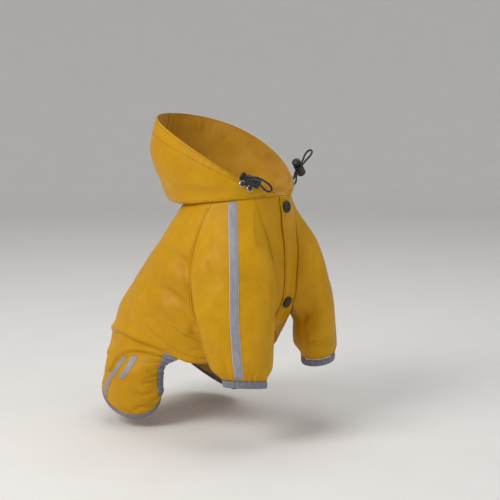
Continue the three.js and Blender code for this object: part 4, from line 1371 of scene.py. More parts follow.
def make_sleeve(side: Side) -> Surface:
    """A sleeve's surface with its folds and the gathers above its cuff."""
    gathers = Gathers(40, 1.35, 0.0085, (0.04, 0.11), seed=11 + side.value)

    def ease(a: Array, t: Array) -> Array:
        """The folds fade near the armhole and near the cuff."""
        return smooth(t / 0.05) * smooth((1 - t) / 0.03 + 0.15)

    def gather(a: Array, t: Array) -> Array:
        """Gathers, and the cloth's slight unevenness."""
        angle = 2 * np.pi * a
        uneven = 0.3 * np.sin(3 * angle + 11 * t) * np.sin(8 * t + angle)
        uneven = uneven + 0.12 * np.sin(5 * angle - 21 * t)
        return gathers.relief(np.mod(a, 1.0), t) + uneven * smooth(t / 0.08) * smooth((1 - t) / 0.08)

    return Surface(
        lambda a, t: sleeve_point(a, t, side),
        (50, side.value * 62, -130),
        (0.5, 0.7),
        sleeve_folds(side),
        ease,
        gather,
        (-1e9, 1e9, 0.0, 2.0),
    )


CUFF_LENGTH = 7.0
TAPE_LIFT = 0.62
TAPE_WALL = 0.45


def lay_tape(
    name: str, surface: Surface, middle: Array, t: Array, width: float, bevel: float
) -> tuple[bpy.types.Object, Array]:
    """A tape of even width on a surface, its edges turned down.

    Half the width, as a share, is the width over the distance between two points close to the middle.

    Args:
        name: The piece's name.
        surface: The cloth's surface, whose first coordinate runs across the tape.
        middle: The tape's middle at each t.
        t: Places along the tape.
        width: Its width in millimetres.
        bevel: Where its edge starts to turn down, as a share of half the width.

    Returns:
        The linked object, and half its width in the surface's first coordinate.
    """
    near = 0.005
    gap = np.linalg.norm(surface.place(middle + near, t) - surface.place(middle - near, t), axis=-1)
    half = width * near / gap
    across = np.array([-1, -bevel, -0.85, -0.5, 0, 0.5, 0.85, bevel, 1])
    dips = np.array([0.3, 0.08, 0, 0, 0, 0, 0, 0.08, 0.3])
    a = middle[:, None] + across * half[:, None]
    grid_t = np.broadcast_to(t[:, None], a.shape)
    points = surface.at(a, grid_t, TAPE_LIFT - dips * np.ones_like(a))
    obj = grid_piece(name, points, surface.normal(a, grid_t))
    thicken(obj, TAPE_WALL, lining=False)
    return obj, half


@dataclass
class Sleeve:
    """A sleeve with its elastic cuff, its reflective tape and its stitching."""

    finishes: Finishes
    side: Side
    columns: int = 192
    rows: int = 104
    length: float = 150.0
    cuff_wall: float = 1.7
    tape_from: float = 0.012
    tape_to: float = 0.988

    def __post_init__(self) -> None:
        """Makes the sleeve's surface."""
        self.surface = make_sleeve(self.side)

    def cloth(self) -> bpy.types.Object:
        """The sleeve's tube of cloth from the armhole to the cuff."""
        shares, dips = spread(self.length, self.rows, Edge.SEAM, Edge.SEAM)
        a, t = np.meshgrid(np.arange(self.columns) / self.columns, shares[0])
        points = self.surface.at(a, t, -dips[:, None] * np.ones_like(a))
        obj = grid_piece(f"sleeve_cloth_{self.side.word}", points, self.surface.normal(a, t), wrap=True)
        thicken(obj, CLOTH)
        node = f"sleeve_{self.side.word}"
        finish_piece(obj, [self.finishes.cloth, self.finishes.lining], [node])
        self.flat = (cut_size(points), sheet_area(points))
        return obj

    def cuff(self) -> bpy.types.Object:
        """The elastic band: a tube with rounded edges that swells a little between them."""
        shares, dips = spread(CUFF_LENGTH, 14, Edge.SEAM, Edge.FOLDED)
        a, t = np.meshgrid(np.arange(self.columns) / self.columns, 1 + shares[0])
        swell = 0.55 * np.sin(np.pi * np.clip(shares[0], 0, 1)) ** 0.7
        points = self.surface.at(a, t, (swell - 0.8 * dips)[:, None] * np.ones_like(a))
        out = self.surface.normal(a, np.minimum(t, 1.99))
        obj = grid_piece(f"sleeve_elastic_{self.side.word}", points, out, wrap=True)
        thicken(obj, self.cuff_wall, lining=False)
        return finish_piece(obj, [self.finishes.elastic], [f"sleeve_cuff_{self.side.word}"])

    def tape(self) -> bpy.types.Object:
        """The tape down the outer face, laid on the cloth with a constant width."""
        t = np.linspace(self.tape_from, self.tape_to, 130)
        name = f"sleeve_tape_silver_{self.side.word}"
        obj, half = lay_tape(name, self.surface, np.full_like(t, 0.5), t, SLEEVE_TAPE_WIDTH, 0.97)
        self.tape_half = (t, half)
        node = f"sleeve_tape_{self.side.word}"
        return finish_piece(obj, [self.finishes.sleeve_tape], [node])

    def stitches(self) -> bpy.types.Object:
        """Two rows on the tape, and one row above the cuff."""
        t, half = self.tape_half
        rows = [line_on(self.surface, 0.5 + sign * half * 0.76, t, 0.66) for sign in (-1, 1)]
        around = np.linspace(0, 1, 260)
        rows.append(line_on(self.surface, around, np.full(260, 1 - 1.8 / self.length)))
        name = f"sleeve_stitches_{self.side.word}"
        kind = Stitching(radius=0.22)
        return stitch_piece(name, rows, self.finishes.yellow_thread, kind)

    def build(self) -> None:
        """Makes every piece of the sleeve."""
        cloth = self.cloth()
        parts = [self.cuff(), self.tape(), self.stitches()]
        size, area = self.flat


def leg_folds(side: Side) -> list[Fold]:
    """The folds of a trouser leg: the rump's lap over the thigh, and what the opening's elastic draws."""
    lap = ((0.53, 0.58), (0.43, 0.475), (0.372, 0.33), (0.285, 0.215), (0.18, 0.11), (0.09, 0.045))
    drawn = [
        (lap, 3.0, 5.0, Crease.LAP),
        (((0.158, 0.198), (0.106, 0.202), (0.066, 0.271)), 1.3, 1.9),
        (((0.149, 0.401), (0.098, 0.444), (0.051, 0.528)), 1.4, 2.0),
        (((0.181, 0.55), (0.117, 0.555), (0.054, 0.621)), 1.4, 2.0),
        (((0.229, 0.682), (0.156, 0.701), (0.065, 0.679)), 1.5, 2.2),
        (((0.282, 0.91), (0.202, 0.862), (0.165, 0.951)), 1.5, 2.4),
        (((0.467, 1.0), (0.392, 0.985), (0.326, 0.944), (0.292, 0.99)), 0.6, 2.0),
        (((0.55, 0.3), (0.58, 0.45), (0.62, 0.62)), 1.2, 6.0),
        (((0.5, 0.7), (0.58, 0.74), (0.68, 0.8)), 1.0, 4.0),
        (((0.75, 0.3), (0.78, 0.5), (0.8, 0.7)), 1.0, 5.0),
    ]
    change = 1.0 if side is Side.RIGHT else 0.88
    return [Fold(path, height * change, width, *kind) for path, height, width, *kind in drawn]


def make_leg(side: Side) -> Surface:
    """A trouser leg's surface with its folds, and the gathers above the cuff and beside the binding."""
    cuff = Gathers(46, 1.0, 0.008, (0.06, 0.2), (0.0, 1.0), False, 5 + side.value)
    rng = np.random.default_rng(23 + side.value)
    places, lengths = rng.uniform(0.06, 0.92, 15), rng.uniform(0.05, 0.13, 15)

    def ease(a: Array, t: Array) -> Array:
        """The folds fade near the waist, the back seam, the cuff and the binding."""
        along = smooth(t / 0.06) * smooth((1.0 - t) / 0.05 + 0.1)
        return along * smooth((a - 0.02) / 0.05) * smooth((1 - a) / 0.06)

    def gather(a: Array, t: Array) -> Array:
        """Gathers above the cuff, short ones behind the binding, and the cloth's slight unevenness."""
        beside = np.zeros(np.broadcast(a, t).shape)
        for place, length in zip(places, lengths):
            dent = np.exp(-(((t - place - 0.25 * a) / 0.012) ** 2))
            beside -= 0.75 * dent * smooth((0.1 + length - a) / length)
        uneven = 0.3 * np.sin(9 * a + 7 * t) * np.sin(5 * a - 8 * t) + 0.12 * np.sin(31 * a + 13 * t)
        open_part = smooth(t / 0.04) * smooth((1 - t) / 0.08)
        return cuff.relief(a, t) + (beside + uneven * smooth((1 - a) / 0.05)) * open_part

    return Surface(
        lambda a, t: leg_point(a, t, side),
        (-86, side.value * 60, -180),
        (0.4, 0.7),
        leg_folds(side),
        ease,
        gather,
        (0.0, 1.0, 0.0, HIND_CUFF_END),
    )


@dataclass
class TrouserLeg:
    """A trouser leg with its bindings, its cuff, its two tapes and its stitching."""

    finishes: Finishes
    side: Side
    rows: int = 96
    width: float = 8.0
    top: float = 16.0
    top_ends: float = 0.3
    most: float = 0.16
    sliver: float = 0.012
    closing: float = 0.72
    closed: float = 0.96
    wall: float = 1.8
    tuck: float = 1.6

    def __post_init__(self) -> None:
        """Makes the leg's surface."""
        self.surface = make_leg(self.side)

    def binding_share(self, t: Array, front: bool) -> Array:
        """How much of the leg's round a binding takes: its width over the cloth's, closing to a sliver."""
        edge = 0.02
        low, high = (0.0, edge) if front else (1 - edge, 1.0)
        ends = [leg_point(np.full_like(t, place), t, Side.RIGHT) for place in (low, high)]
        speed = np.linalg.norm(ends[1] - ends[0], axis=-1) / edge
        wide = mix(self.top, self.width, smooth(t / self.top_ends)) if front else self.width
        share = np.minimum(wide / speed, self.most)
        return mix(share, self.sliver, smooth((t - self.closing) / (self.closed - self.closing)))

    def cloth(self) -> bpy.types.Object:
        """The leg's cloth between its two bindings, from the waist and back seams to the cuff."""
        shares, row_dips = spread(62.0, self.rows, Edge.SEAM, Edge.SEAM)
        t = shares[0]
        front, rear = self.binding_share(t, True), 1 - self.binding_share(t, False)
        first, first_dips = spread((WAIST_SHARE - front) * LEG_ROUND, 116, Edge.SEAM, Edge.FLAT)
        last, last_dips = spread((rear - WAIST_SHARE) * LEG_ROUND, 72, Edge.FLAT, Edge.SEAM)
        a = mix(front[:, None], WAIST_SHARE, first)
        a = np.hstack([a, mix(WAIST_SHARE, rear[:, None], last[:, 1:])])
        dips = np.concatenate([first_dips, last_dips[1:]])
        grid_t = np.broadcast_to(t[:, None], a.shape)
        points = self.surface.at(a, grid_t, -np.maximum(row_dips[:, None], dips[None]))
        out = self.surface.normal(a, grid_t)
        tucked = points[:1] + self.tuck * unit(points[:1] - points[3:4]) - 0.8 * out[:1]
        points, out = np.concatenate([tucked, points]), np.concatenate([out[:1], out])
        obj = grid_piece(f"trouser_cloth_{self.side.word}", points, out)
        thicken(obj, CLOTH)
        node = f"trouser_{self.side.word}"
        finish_piece(obj, [self.finishes.cloth, self.finishes.lining], [node])
        self.flat = (cut_size(points), sheet_area(points))
        return obj

    def binding(self, front: bool) -> bpy.types.Object:
        """A band of elastic round the opening, standing a little proud of the cloth beside it."""
        t, row_dips = spread(62.0, 90, Edge.SEAM, Edge.FLAT)
        t = t[0] * 0.992
        share = self.binding_share(t, front)
        across, dips = spread(share * LEG_ROUND, 12, Edge.FOLDED, Edge.SEAM)
        a = across * share[:, None] if front else 1 - across * share[:, None]
        grid_t = np.broadcast_to(t[:, None], a.shape)
        pucker = 0.22 * np.sin(150 * grid_t + 3 * np.sin(17 * grid_t)) * smooth(across / 0.3)
        swell = 0.5 * np.sin(np.pi * np.clip(across, 0, 1)) * smooth((self.closed - grid_t) / 0.25)
        lift = swell + pucker * swell - 0.7 * np.maximum(row_dips[:, None], dips[None])
        points = self.surface.at(a, grid_t, lift)
        word = "leg" if front else "thigh"
        obj = grid_piece(f"{word}_elastic_{self.side.word}", points, self.surface.normal(a, grid_t))
        thicken(obj, self.wall, lining=False)
        return finish_piece(obj, [self.finishes.elastic], [f"{word}_binding_{self.side.word}"])

    def cuff(self) -> bpy.types.Object:
        """The thin elastic round the hock."""
        shares, dips = spread(4.5, 10, Edge.SEAM, Edge.FOLDED)
        a, t = np.meshgrid(np.linspace(0, 1, 201)[:-1], mix(1.0, HIND_CUFF_END, shares[0]))
        swell = 0.45 * np.sin(np.pi * np.clip(shares[0], 0, 1)) ** 0.7
        points = self.surface.at(a, t, (swell - 0.8 * dips)[:, None] * np.ones_like(a))
        obj = grid_piece(f"hind_elastic_{self.side.word}", points, self.surface.normal(a, t), wrap=True)
        thicken(obj, self.wall, lining=False)
        return finish_piece(obj, [self.finishes.elastic], [f"hind_cuff_{self.side.word}"])

    def tape(self, word: str, path: Table, start: float, end: float) -> bpy.types.Object:
        """A slanting tape on the back of the thigh."""
        t = np.linspace(start, end, 90)
        middle = path(t)[0]
        name = f"leg_tape_silver_{word}_{self.side.word}"
        obj, half = lay_tape(name, self.surface, middle, t, LEG_TAPE_WIDTH, 0.96)
        self.tape_lines += [line_on(self.surface, middle + sign * half * 0.74, t, 0.66) for sign in (-1, 1)]
        node = f"leg_tape_{word}_{self.side.word}"
        return finish_piece(obj, [self.finishes.leg_tape], [node])

    def build(self) -> None:
        """Makes every piece of the leg."""
        cloth = self.cloth()
        self.tape_lines: list[tuple[Array, Array]] = []
        long = Table([(0.25, 0.28), (0.4, 0.355), (0.6, 0.42), (0.75, 0.437), (0.95, 0.475)])
        short = Table([(0.2, 0.2), (0.36, 0.262), (0.52, 0.325)])
        parts = [self.binding(True), self.binding(False), self.cuff()]
        parts += [self.tape("long", long, 0.25, 0.95), self.tape("short", short, 0.2, 0.52)]
        t = np.linspace(0.06, 0.9, 160)
        beside = self.binding_share(t, True) + 1.6 / LEG_ROUND
        around = np.linspace(0.02, 0.98, 260)
        lines = [line_on(self.surface, beside, t), line_on(self.surface, around, np.full(260, 0.975))]
        name = f"leg_stitches_{self.side.word}"
        kind = Stitching(radius=0.22)
        rows = lines + self.tape_lines
        parts.append(stitch_piece(name, rows, self.finishes.yellow_thread, kind))
        size, area = self.flat


def hood_folds() -> list[Fold]:
    """The hood's folds, on both of its sides."""
    drawn = [
        (((0.69, -81), (0.642, -69), (0.697, -54), (0.72, -45)), 1.6, 6.0),
        (((0.351, -100), (0.347, -79), (0.369, -57), (0.277, -42)), 1.8, 6.0),
        (((0.847, -120), (0.687, -106), (0.484, -101)), 1.5, 7.0),
        (((0.075, -165), (0.085, -130), (0.09, -100), (0.085, -70), (0.075, -42)), 2.6, 4.5, Crease.LAP),
        (((0.3, -150), (0.45, -140), (0.62, -135)), 1.6, 8.0),
        (((0.2, -30), (0.35, -25), (0.5, -22)), 1.0, 4.0),
    ]
    folds = []
    for i, (path, height, width, *kind) in enumerate(drawn):
        folds.append(Fold(path, height, width, *kind))
        other = mirrored(path, (0.01 * math.cos(i), 2.5 * math.sin(2 * i)))
        laps = Crease.LAP in kind
        folds.append(Fold(other[::-1] if laps else other, 0.9 * height, width, *kind))
    return folds


def make_hood() -> Surface:
    """The hood's surface with its folds."""

    def ease(h: Array, v: Array) -> Array:
        """The folds fade near the neckline, the middle seam and the rim."""
        angle = folded(v)
        along = smooth(h / 0.05) * smooth((1 - h) / 0.08 + 0.2)
        return along * smooth((180 - angle) / 8) * smooth((angle - 9) / 8)

    def uneven(h: Array, v: Array) -> Array:
        """The cloth's slight unevenness, and small puckers along the rim's casing."""
        angle = np.radians(v)
        soft = 0.3 * np.sin(5 * angle + 8 * h) * np.sin(9 * h - 2 * angle)
        soft = soft + 0.12 * np.sin(15 * angle + 17 * h)
        rim = 0.3 * smooth((h - 0.8) / 0.06) * smooth((0.985 - h) / 0.05)
        return soft * ease(h, v) + rim * np.sin(70 * angle + 3 * np.sin(9 * angle))

    limits = (0.0, 1.0, -1e9, 1e9)
    return Surface(hood_point, (-20, 0, 40), (0.7, 120.0), hood_folds(), ease, uneven, limits)


@dataclass
class Hood:
    """The two halves of the hood, with the casing's stitches along the rim and the front edges."""

    finishes: Finishes
    surface: Surface
    rows: int = 70
    columns: int = 104
    height: float = 96.0
    casing: float = 13.0

    def half(self, side: Side) -> None:
        """One half, from its front edge to the middle seam."""
        shares, row_dips = spread(self.height, self.rows, Edge.SEAM, Edge.FOLDED)
        cross, dips = spread(np.full(shares.shape[1], 190.0), self.columns, Edge.FOLDED, Edge.SEAM)
        v = side.value * mix(HOOD_FRONT_V, 180.0, cross)
        h = np.broadcast_to(shares[0][:, None], v.shape)
        points = self.surface.at(h, v, -np.maximum(row_dips[:, None], dips[None]))
        obj = grid_piece(f"hood_cloth_{side.word}", points, self.surface.normal(h, v))
        thicken(obj, CLOTH)
        finish_piece(obj, [self.finishes.cloth, self.finishes.lining], [f"hood_{side.word}"])
        size, area = cut_size(points), sheet_area(points)

    def stitches(self) -> None:
        """The rim casing's two rows, and one row beside each front edge and beside the middle seam."""
        lines = []
        for sign in (-1, 1):
            v = sign * np.linspace(HOOD_FRONT_V + 2, 178, 240)
            for back in (2.2, self.casing):
                lines.append(line_on(self.surface, np.full(240, 1 - back / self.height), v))
            h = np.linspace(0.04, 0.98, 120)
            lines.append(line_on(self.surface, h, np.full(120, sign * (HOOD_FRONT_V + 2.0))))
            lines.append(line_on(self.surface, h, np.full(120, sign * 178.4)))
        stitch_piece("hood_stitches", lines, self.finishes.yellow_thread)

    def build(self) -> None:
        """Makes every piece of the hood."""
        for side in Side:
            self.half(side)
        self.stitches()


def turned(profile: Sequence[tuple[float, float]], sides: int = 48) -> tuple[Array, Array]:
    """A round solid about the X axis.

    Args:
        profile: Radius and place along X of each ring, the first and last on the axis or the first
            repeated at the end, in millimetres.
        sides: How many corners each ring has.

    Returns:
        The vertices and the four-cornered faces.
    """
    rings = np.array(profile, float)
    angle = np.arange(sides) * 2 * np.pi / sides
    x = np.repeat(rings[:, 1], sides)
    y, z = np.outer(rings[:, 0], np.cos(angle)).ravel(), np.outer(rings[:, 0], np.sin(angle)).ravel()
    index = np.arange(len(rings) * sides).reshape(len(rings), sides)
    after = np.roll(index, -1, axis=1)
    faces = np.stack([index[:-1], after[:-1], after[1:], index[1:]], axis=-1).reshape(-1, 4)
    return np.column_stack([x, y, z]), faces


def rounded(
    profile: Sequence[tuple[float, float]], radius: float, steps: int = 4
) -> list[tuple[float, float]]:
    """A profile whose inner corners are cut by short curves.

    Each corner becomes a quadratic curve between the points at most the radius away on its two sides.
    """
    points = np.array(profile, float)
    out = [tuple(points[0])]
    for before, corner, after in zip(points[:-2], points[1:-1], points[2:]):
        reach = [min(radius, np.linalg.norm(other - corner) / 2.2) for other in (before, after)]
        start, end = (corner + unit(other - corner) * r for other, r in zip((before, after), reach))
        f = np.linspace(0, 1, steps + 1)[:, None]
        out += [tuple(p) for p in (1 - f) ** 2 * start + 2 * f * (1 - f) * corner + f * f * end]
    return out + [tuple(points[-1])]


def solid_piece(name: str, vertices: Array, faces: Array, basis: Array, origin: Array) -> bpy.types.Object:
    """A closed piece carried from its own axes to the coat, with merged poles and faces turned out.

    Args:
        name: The piece's name.
        vertices: Its points in its own axes, in millimetres.
        faces: Their faces.
        basis: Its three axes as rows.
        origin: Where its own origin lies, in millimetres.

    Returns:
        The linked object.
    """
    obj = mesh_piece(name, vertices @ basis + origin, faces)
    shape = bmesh.new()
    shape.from_mesh(obj.data)
    bmesh.ops.remove_doubles(shape, verts=shape.verts, dist=1e-7)
    bmesh.ops.dissolve_degenerate(shape, edges=shape.edges, dist=1e-8)
    bmesh.ops.recalc_face_normals(shape, faces=shape.faces)
    shape.to_mesh(obj.data)
    shape.free()
    return obj


@dataclass
class Snaps:
    """The two snap caps on the placket: a rolled rim round a dished top."""

    finishes: Finishes
    body: Body
    rows: tuple[float, float] = (0.075, 0.68)
    across: float = 3.0
    seat: float = 1.7
    rim_profile: tuple[tuple[float, float], ...] = (
        (0, -0.1),
        (5.6, -0.1),
        (6.0, 0.35),
        (6.0, 1.2),
        (5.4, 2.05),
        (4.5, 2.15),
        (3.9, 1.75),
        (2.2, 1.5),
        (0, 1.42),
    )

    def build(self) -> None:
        """Makes both caps."""
        vertices, faces = turned(rounded(self.rim_profile, 0.5), 56)
        for i, row in enumerate(self.rows):
            u = np.array([row])
            v = self.body.ring_angle(u, self.across)
            normal = self.body.surface.normal(u, v)[0]
            along = unit(np.cross(normal, [0.0, 1.0, 0.0]))
            origin = body_point(u, v)[0] + normal * self.seat
            basis = np.array([normal, np.cross(along, normal), along])
            obj = solid_piece(f"snap_cap_{i + 1}", vertices, faces, basis, origin)
            finish_piece(obj, [self.finishes.plastic], [f"snap_{i + 1}"])


@dataclass(frozen=True)
class LockPlace:
    """Where a cord lock hangs: its barrel's axis, the way of its strands and its shift from the eyelets."""

    axis: tuple[float, float, float]
    through: tuple[float, float, float]
    shift: tuple[float, float, float]
    loop: tuple[tuple[float, float, float], ...]


CORD_X = -2.2
LOCKS = {
    Side.RIGHT: LockPlace(
        (0.5, 0.68, -0.62),
        (0.62, -0.62, 0.48),
        (5, 10, 3),
        (
            (-1.6, 1.3, 7.4),
            (1.2, 1.6, 9),
            (5, 2.2, 8.4),
            (9.5, 3.1, 6),
            (14, 3.7, 3.4),
            (18, 3.1, 1.6),
            (19.6, 0, 1),
        ),
    ),
    Side.LEFT: LockPlace(
        (-0.12, 0.72, -0.69),
        (0.1, 0.7, 0.71),
        (2.2, 18, 3),
        (
            (CORD_X, 1.5, 9),
            (CORD_X, 2.5, 14),
            (CORD_X, 3.4, 19),
            (CORD_X - 0.2, 2.7, 23.4),
            (CORD_X - 0.3, 0, 25.2),
        ),
    ),
}
EYELETS = ((0.84, 40.5), (0.72, 34.0))
STRAND_Y = 1.15
STRAND_Z = (-6.4, 0.0, 5.4)
SEAM_GAP = 0.3
CORD = 2.0


@dataclass
class CordLock:
    """One side's drawcord: two eyelets, a loop of elastic cord, and the sprung lock on it."""

    finishes: Finishes
    surface: Surface
    side: Side
    hole_half: float = 1.5
    travel: float = 2.5

    def __post_init__(self) -> None:
        """Finds the lock's axes and middle.

        Z runs with the strands, Y is Z crossed with the given axis, and X is Y crossed with Z. The
        middle lies between the eyelets, shifted along X, Z and Y.
        """
        spot = LOCKS[self.side]
        z = unit(np.array(spot.through))
        y = unit(np.cross(z, spot.axis))
        x = np.cross(y, z)
        self.basis = np.array([x, y, z])
        ends = [self.eyelet(h, v)[0] for h, v in EYELETS]
        along, through, sideways = spot.shift
        self.middle = (ends[0] + ends[1]) / 2 + x * along + z * through + y * sideways

    def eyelet(self, h: float, v: float) -> tuple[Array, Array]:
        """An eyelet's place on the hood, and the normal there."""
        at, turn = np.array([h]), np.array([self.side.value * v])
        return hood_point(at, turn)[0], self.surface.normal(at, turn)[0]

    def route(self) -> Array:
        """The cord's middle line in millimetres.

        From one eyelet the strand runs through the lock, round the loop and back to the other eyelet.
        The line between the points is a centripetal Catmull-Rom curve, then softened at its bends.
        """
        place = lambda x, y, z: np.array([x, y, z]) @ self.basis + self.middle
        ways = []
        for h, v in EYELETS:
            at, normal = self.eyelet(h, v)
            ways.append([at + normal * out for out in (SEAM_GAP, CORD)])
        flip = 1 if (ways[0][0] - ways[1][0]) @ self.basis[1] > 0 else -1
        strand = lambda sign: [place(CORD_X, sign * STRAND_Y, z) for z in STRAND_Z]
        loop = lambda sign: [place(x, sign * y, z) for x, y, z in LOCKS[self.side].loop]
        out = [*ways[0], *strand(flip), *loop(flip)]
        back = [*ways[1], *strand(-flip), *loop(-flip)[:-1]]
        return soften(catmull_rom(np.array([*out, *back[::-1]])))

    def cord(self) -> None:
        """The cord as one open curve of its real thickness."""
        path = (self.route() - WITHERS) * MM
        curve = bpy.data.curves.new(f"drawcord_{self.side.word}", "CURVE")
        curve.dimensions = "3D"
        curve.bevel_depth = CORD / 2 * MM
        curve.bevel_resolution = 5
        curve.use_fill_caps = True
        line = curve.splines.new("POLY")
        line.points.add(len(path) - 1)
        line.points.foreach_set("co", np.column_stack([path, np.ones(len(path))]).ravel())
        line.use_smooth = True
        obj = bpy.data.objects.new(curve.name, curve)
        bpy.context.scene.collection.objects.link(obj)
        finish_piece(obj, [self.finishes.cord], [f"hood_cord_{self.side.word}"])

    def eyelets(self) -> None:
        """The two rings that the cord comes out of."""
        profile = rounded(
            [(1.7, 0.0), (3.4, 0.0), (3.3, 0.35), (2.7, 0.85), (2.1, 0.85), (1.7, 0.4), (1.7, 0.0)], 0.25
        )
        vertices, faces = turned(profile, 40)
        for i, (h, v) in enumerate(EYELETS):
            at, normal = self.eyelet(h, v)
            up = unit(np.cross(np.cross(normal, [0.0, 0.0, 1.0]), normal))
            basis = np.array([normal, np.cross(up, normal), up])
            name = f"nickel_eyelet_{i + 1}_{self.side.word}"
            obj = solid_piece(name, vertices, faces, basis, at + normal * 0.35)
            finish_piece(obj, [self.finishes.steel], [f"eyelet_{i + 1}_{self.side.word}"])

    def holed(self, obj: bpy.types.Object, low: float, high: float) -> bpy.types.Object:
        """Cuts the strands' way through a part of the lock with a rounded slot along Z."""
        half_y = STRAND_Y + CORD / 2 + 0.5
        angle = np.linspace(0, 2 * np.pi, 33)[:-1]
        radius = (high - low) / 2
        middle = (low + high) / 2
        x = middle + radius * np.cos(angle)
        y = np.sign(np.sin(angle)) * (half_y - min(radius, half_y)) + min(radius, half_y) * np.sin(angle)
        ring = np.column_stack([x, y])
        vertices = np.vstack([np.column_stack([ring, np.full(32, z)]) for z in (-9.0, 9.0)])
        faces = [[j, (j + 1) % 32, 32 + (j + 1) % 32, 32 + j] for j in range(32)]
        faces += [list(range(32))[::-1], list(range(32, 64))]
        cutter = mesh_piece("slot_cutter", vertices @ self.basis + self.middle, faces)
        tool = bmesh.new()
        tool.from_mesh(cutter.data)
        bmesh.ops.recalc_face_normals(tool, faces=tool.faces)
        tool.to_mesh(cutter.data)
        tool.free()
        cut = obj.modifiers.new("slot", "BOOLEAN")
        cut.operation, cut.solver, cut.object = "DIFFERENCE", "EXACT", cutter
        bpy.context.view_layer.update()
        shaped = bpy.data.meshes.new_from_object(obj.evaluated_get(bpy.context.evaluated_depsgraph_get()))
        obj.modifiers.clear()
        obj.data = shaped
        shaped.polygons.foreach_set("use_smooth", np.ones(len(shaped.polygons), dtype=bool))
        shaped.set_sharp_from_angle(angle=math.radians(38))
        bpy.data.objects.remove(cutter)
        return obj

    def barrel(self) -> None:
        """The barrel: an open cup with a raised lip, two fine grooves and a domed end."""
        outer = [(3.6, -7.0), (4.6, -7.0), (4.6, -5.9), (4.35, -5.6), (4.35, -5.0), (4.6, -4.7), (4.6, 3.6)]
        outer += [(4.35, 3.9), (4.35, 4.5), (4.6, 4.8), (4.5, 5.6), (3.2, 7.0), (0.0, 7.0)]
        inner = [(0.0, 4.4), (3.6, 4.4), (3.6, -7.0)]
        vertices, faces = turned(rounded(inner + outer[1:], 0.3))
        obj = solid_piece(f"cord_lock_barrel_{self.side.word}", vertices, faces, self.basis, self.middle)
        self.holed(obj, CORD_X - self.hole_half, CORD_X + self.hole_half)
        finish_piece(obj, [self.finishes.plastic], [f"lock_barrel_{self.side.word}"])

    def plunger(self) -> None:
        """The plunger: a ribbed knob on a stem that slides in the barrel."""
        knob = [(0.0, -13.6), (2.4, -13.6), (3.5, -13.2), (4.1, -12.5)]
        for x in (-12.2, -11.5, -10.8):
            knob += [(4.4, x), (4.4, x + 0.35), (4.1, x + 0.45), (4.1, x + 0.6)]
        knob += [(4.3, -10.0), (4.0, -9.8), (3.3, -9.8), (3.3, 1.6), (0.0, 1.6)]
        vertices, faces = turned(rounded(knob, 0.25))
        obj = solid_piece(f"cord_lock_plunger_{self.side.word}", vertices, faces, self.basis, self.middle)
        self.holed(obj, CORD_X - self.hole_half - self.travel, CORD_X + self.hole_half)
        name = f"plunger_{self.side.word}"
        finish_piece(obj, [self.finishes.plastic], [f"lock_plunger_{self.side.word}"], name)

    def build(self) -> None:
        """Makes the lock, the eyelets and then the cord through them."""
        self.barrel()
        self.plunger()
        self.eyelets()
        self.cord()


def catmull_rom(points: Array, each: int = 10) -> Array:
    """A centripetal Catmull-Rom curve through points.

    The knots are spaced by the square roots of the distances. Between two points the curve is a cubic
    whose end slopes come from the neighbours' knots; the ends are carried on in a straight line.
    """
    ends = np.vstack([2 * points[0] - points[1], points, 2 * points[-1] - points[-2]])
    gaps = np.maximum(np.linalg.norm(np.diff(ends, axis=0), axis=1) ** 0.5, 1e-4)
    out = []
    for i in range(1, len(ends) - 2):
        p0, p1, p2, p3 = ends[i - 1 : i + 3]
        d0, d1, d2 = gaps[i - 1 : i + 2]
        m1 = ((p1 - p0) / d0 - (p2 - p0) / (d0 + d1) + (p2 - p1) / d1) * d1
        m2 = ((p2 - p1) / d1 - (p3 - p1) / (d1 + d2) + (p3 - p2) / d2) * d1
        f = (np.arange(each) / each)[:, None]
        out.append(p1 + f * (m1 + f * (3 * (p2 - p1) - 2 * m1 - m2 + f * (2 * (p1 - p2) + m1 + m2))))
    return np.vstack([*out, points[-1:]])


def soften(path: Array, count: int = 110, turns: int = 14) -> Array:
    """A line spaced evenly, each inner point then moved a quarter of the way to each neighbour, in turns."""
    run = np.concatenate([[0.0], np.cumsum(np.linalg.norm(np.diff(path, axis=0), axis=1))])
    even = np.linspace(0, run[-1], count)
    line = np.stack([np.interp(even, run, path[:, k]) for k in range(3)], axis=1)
    for _ in range(turns):
        line[1:-1] = line[1:-1] / 2 + (line[:-2] + line[2:]) / 4
    return line


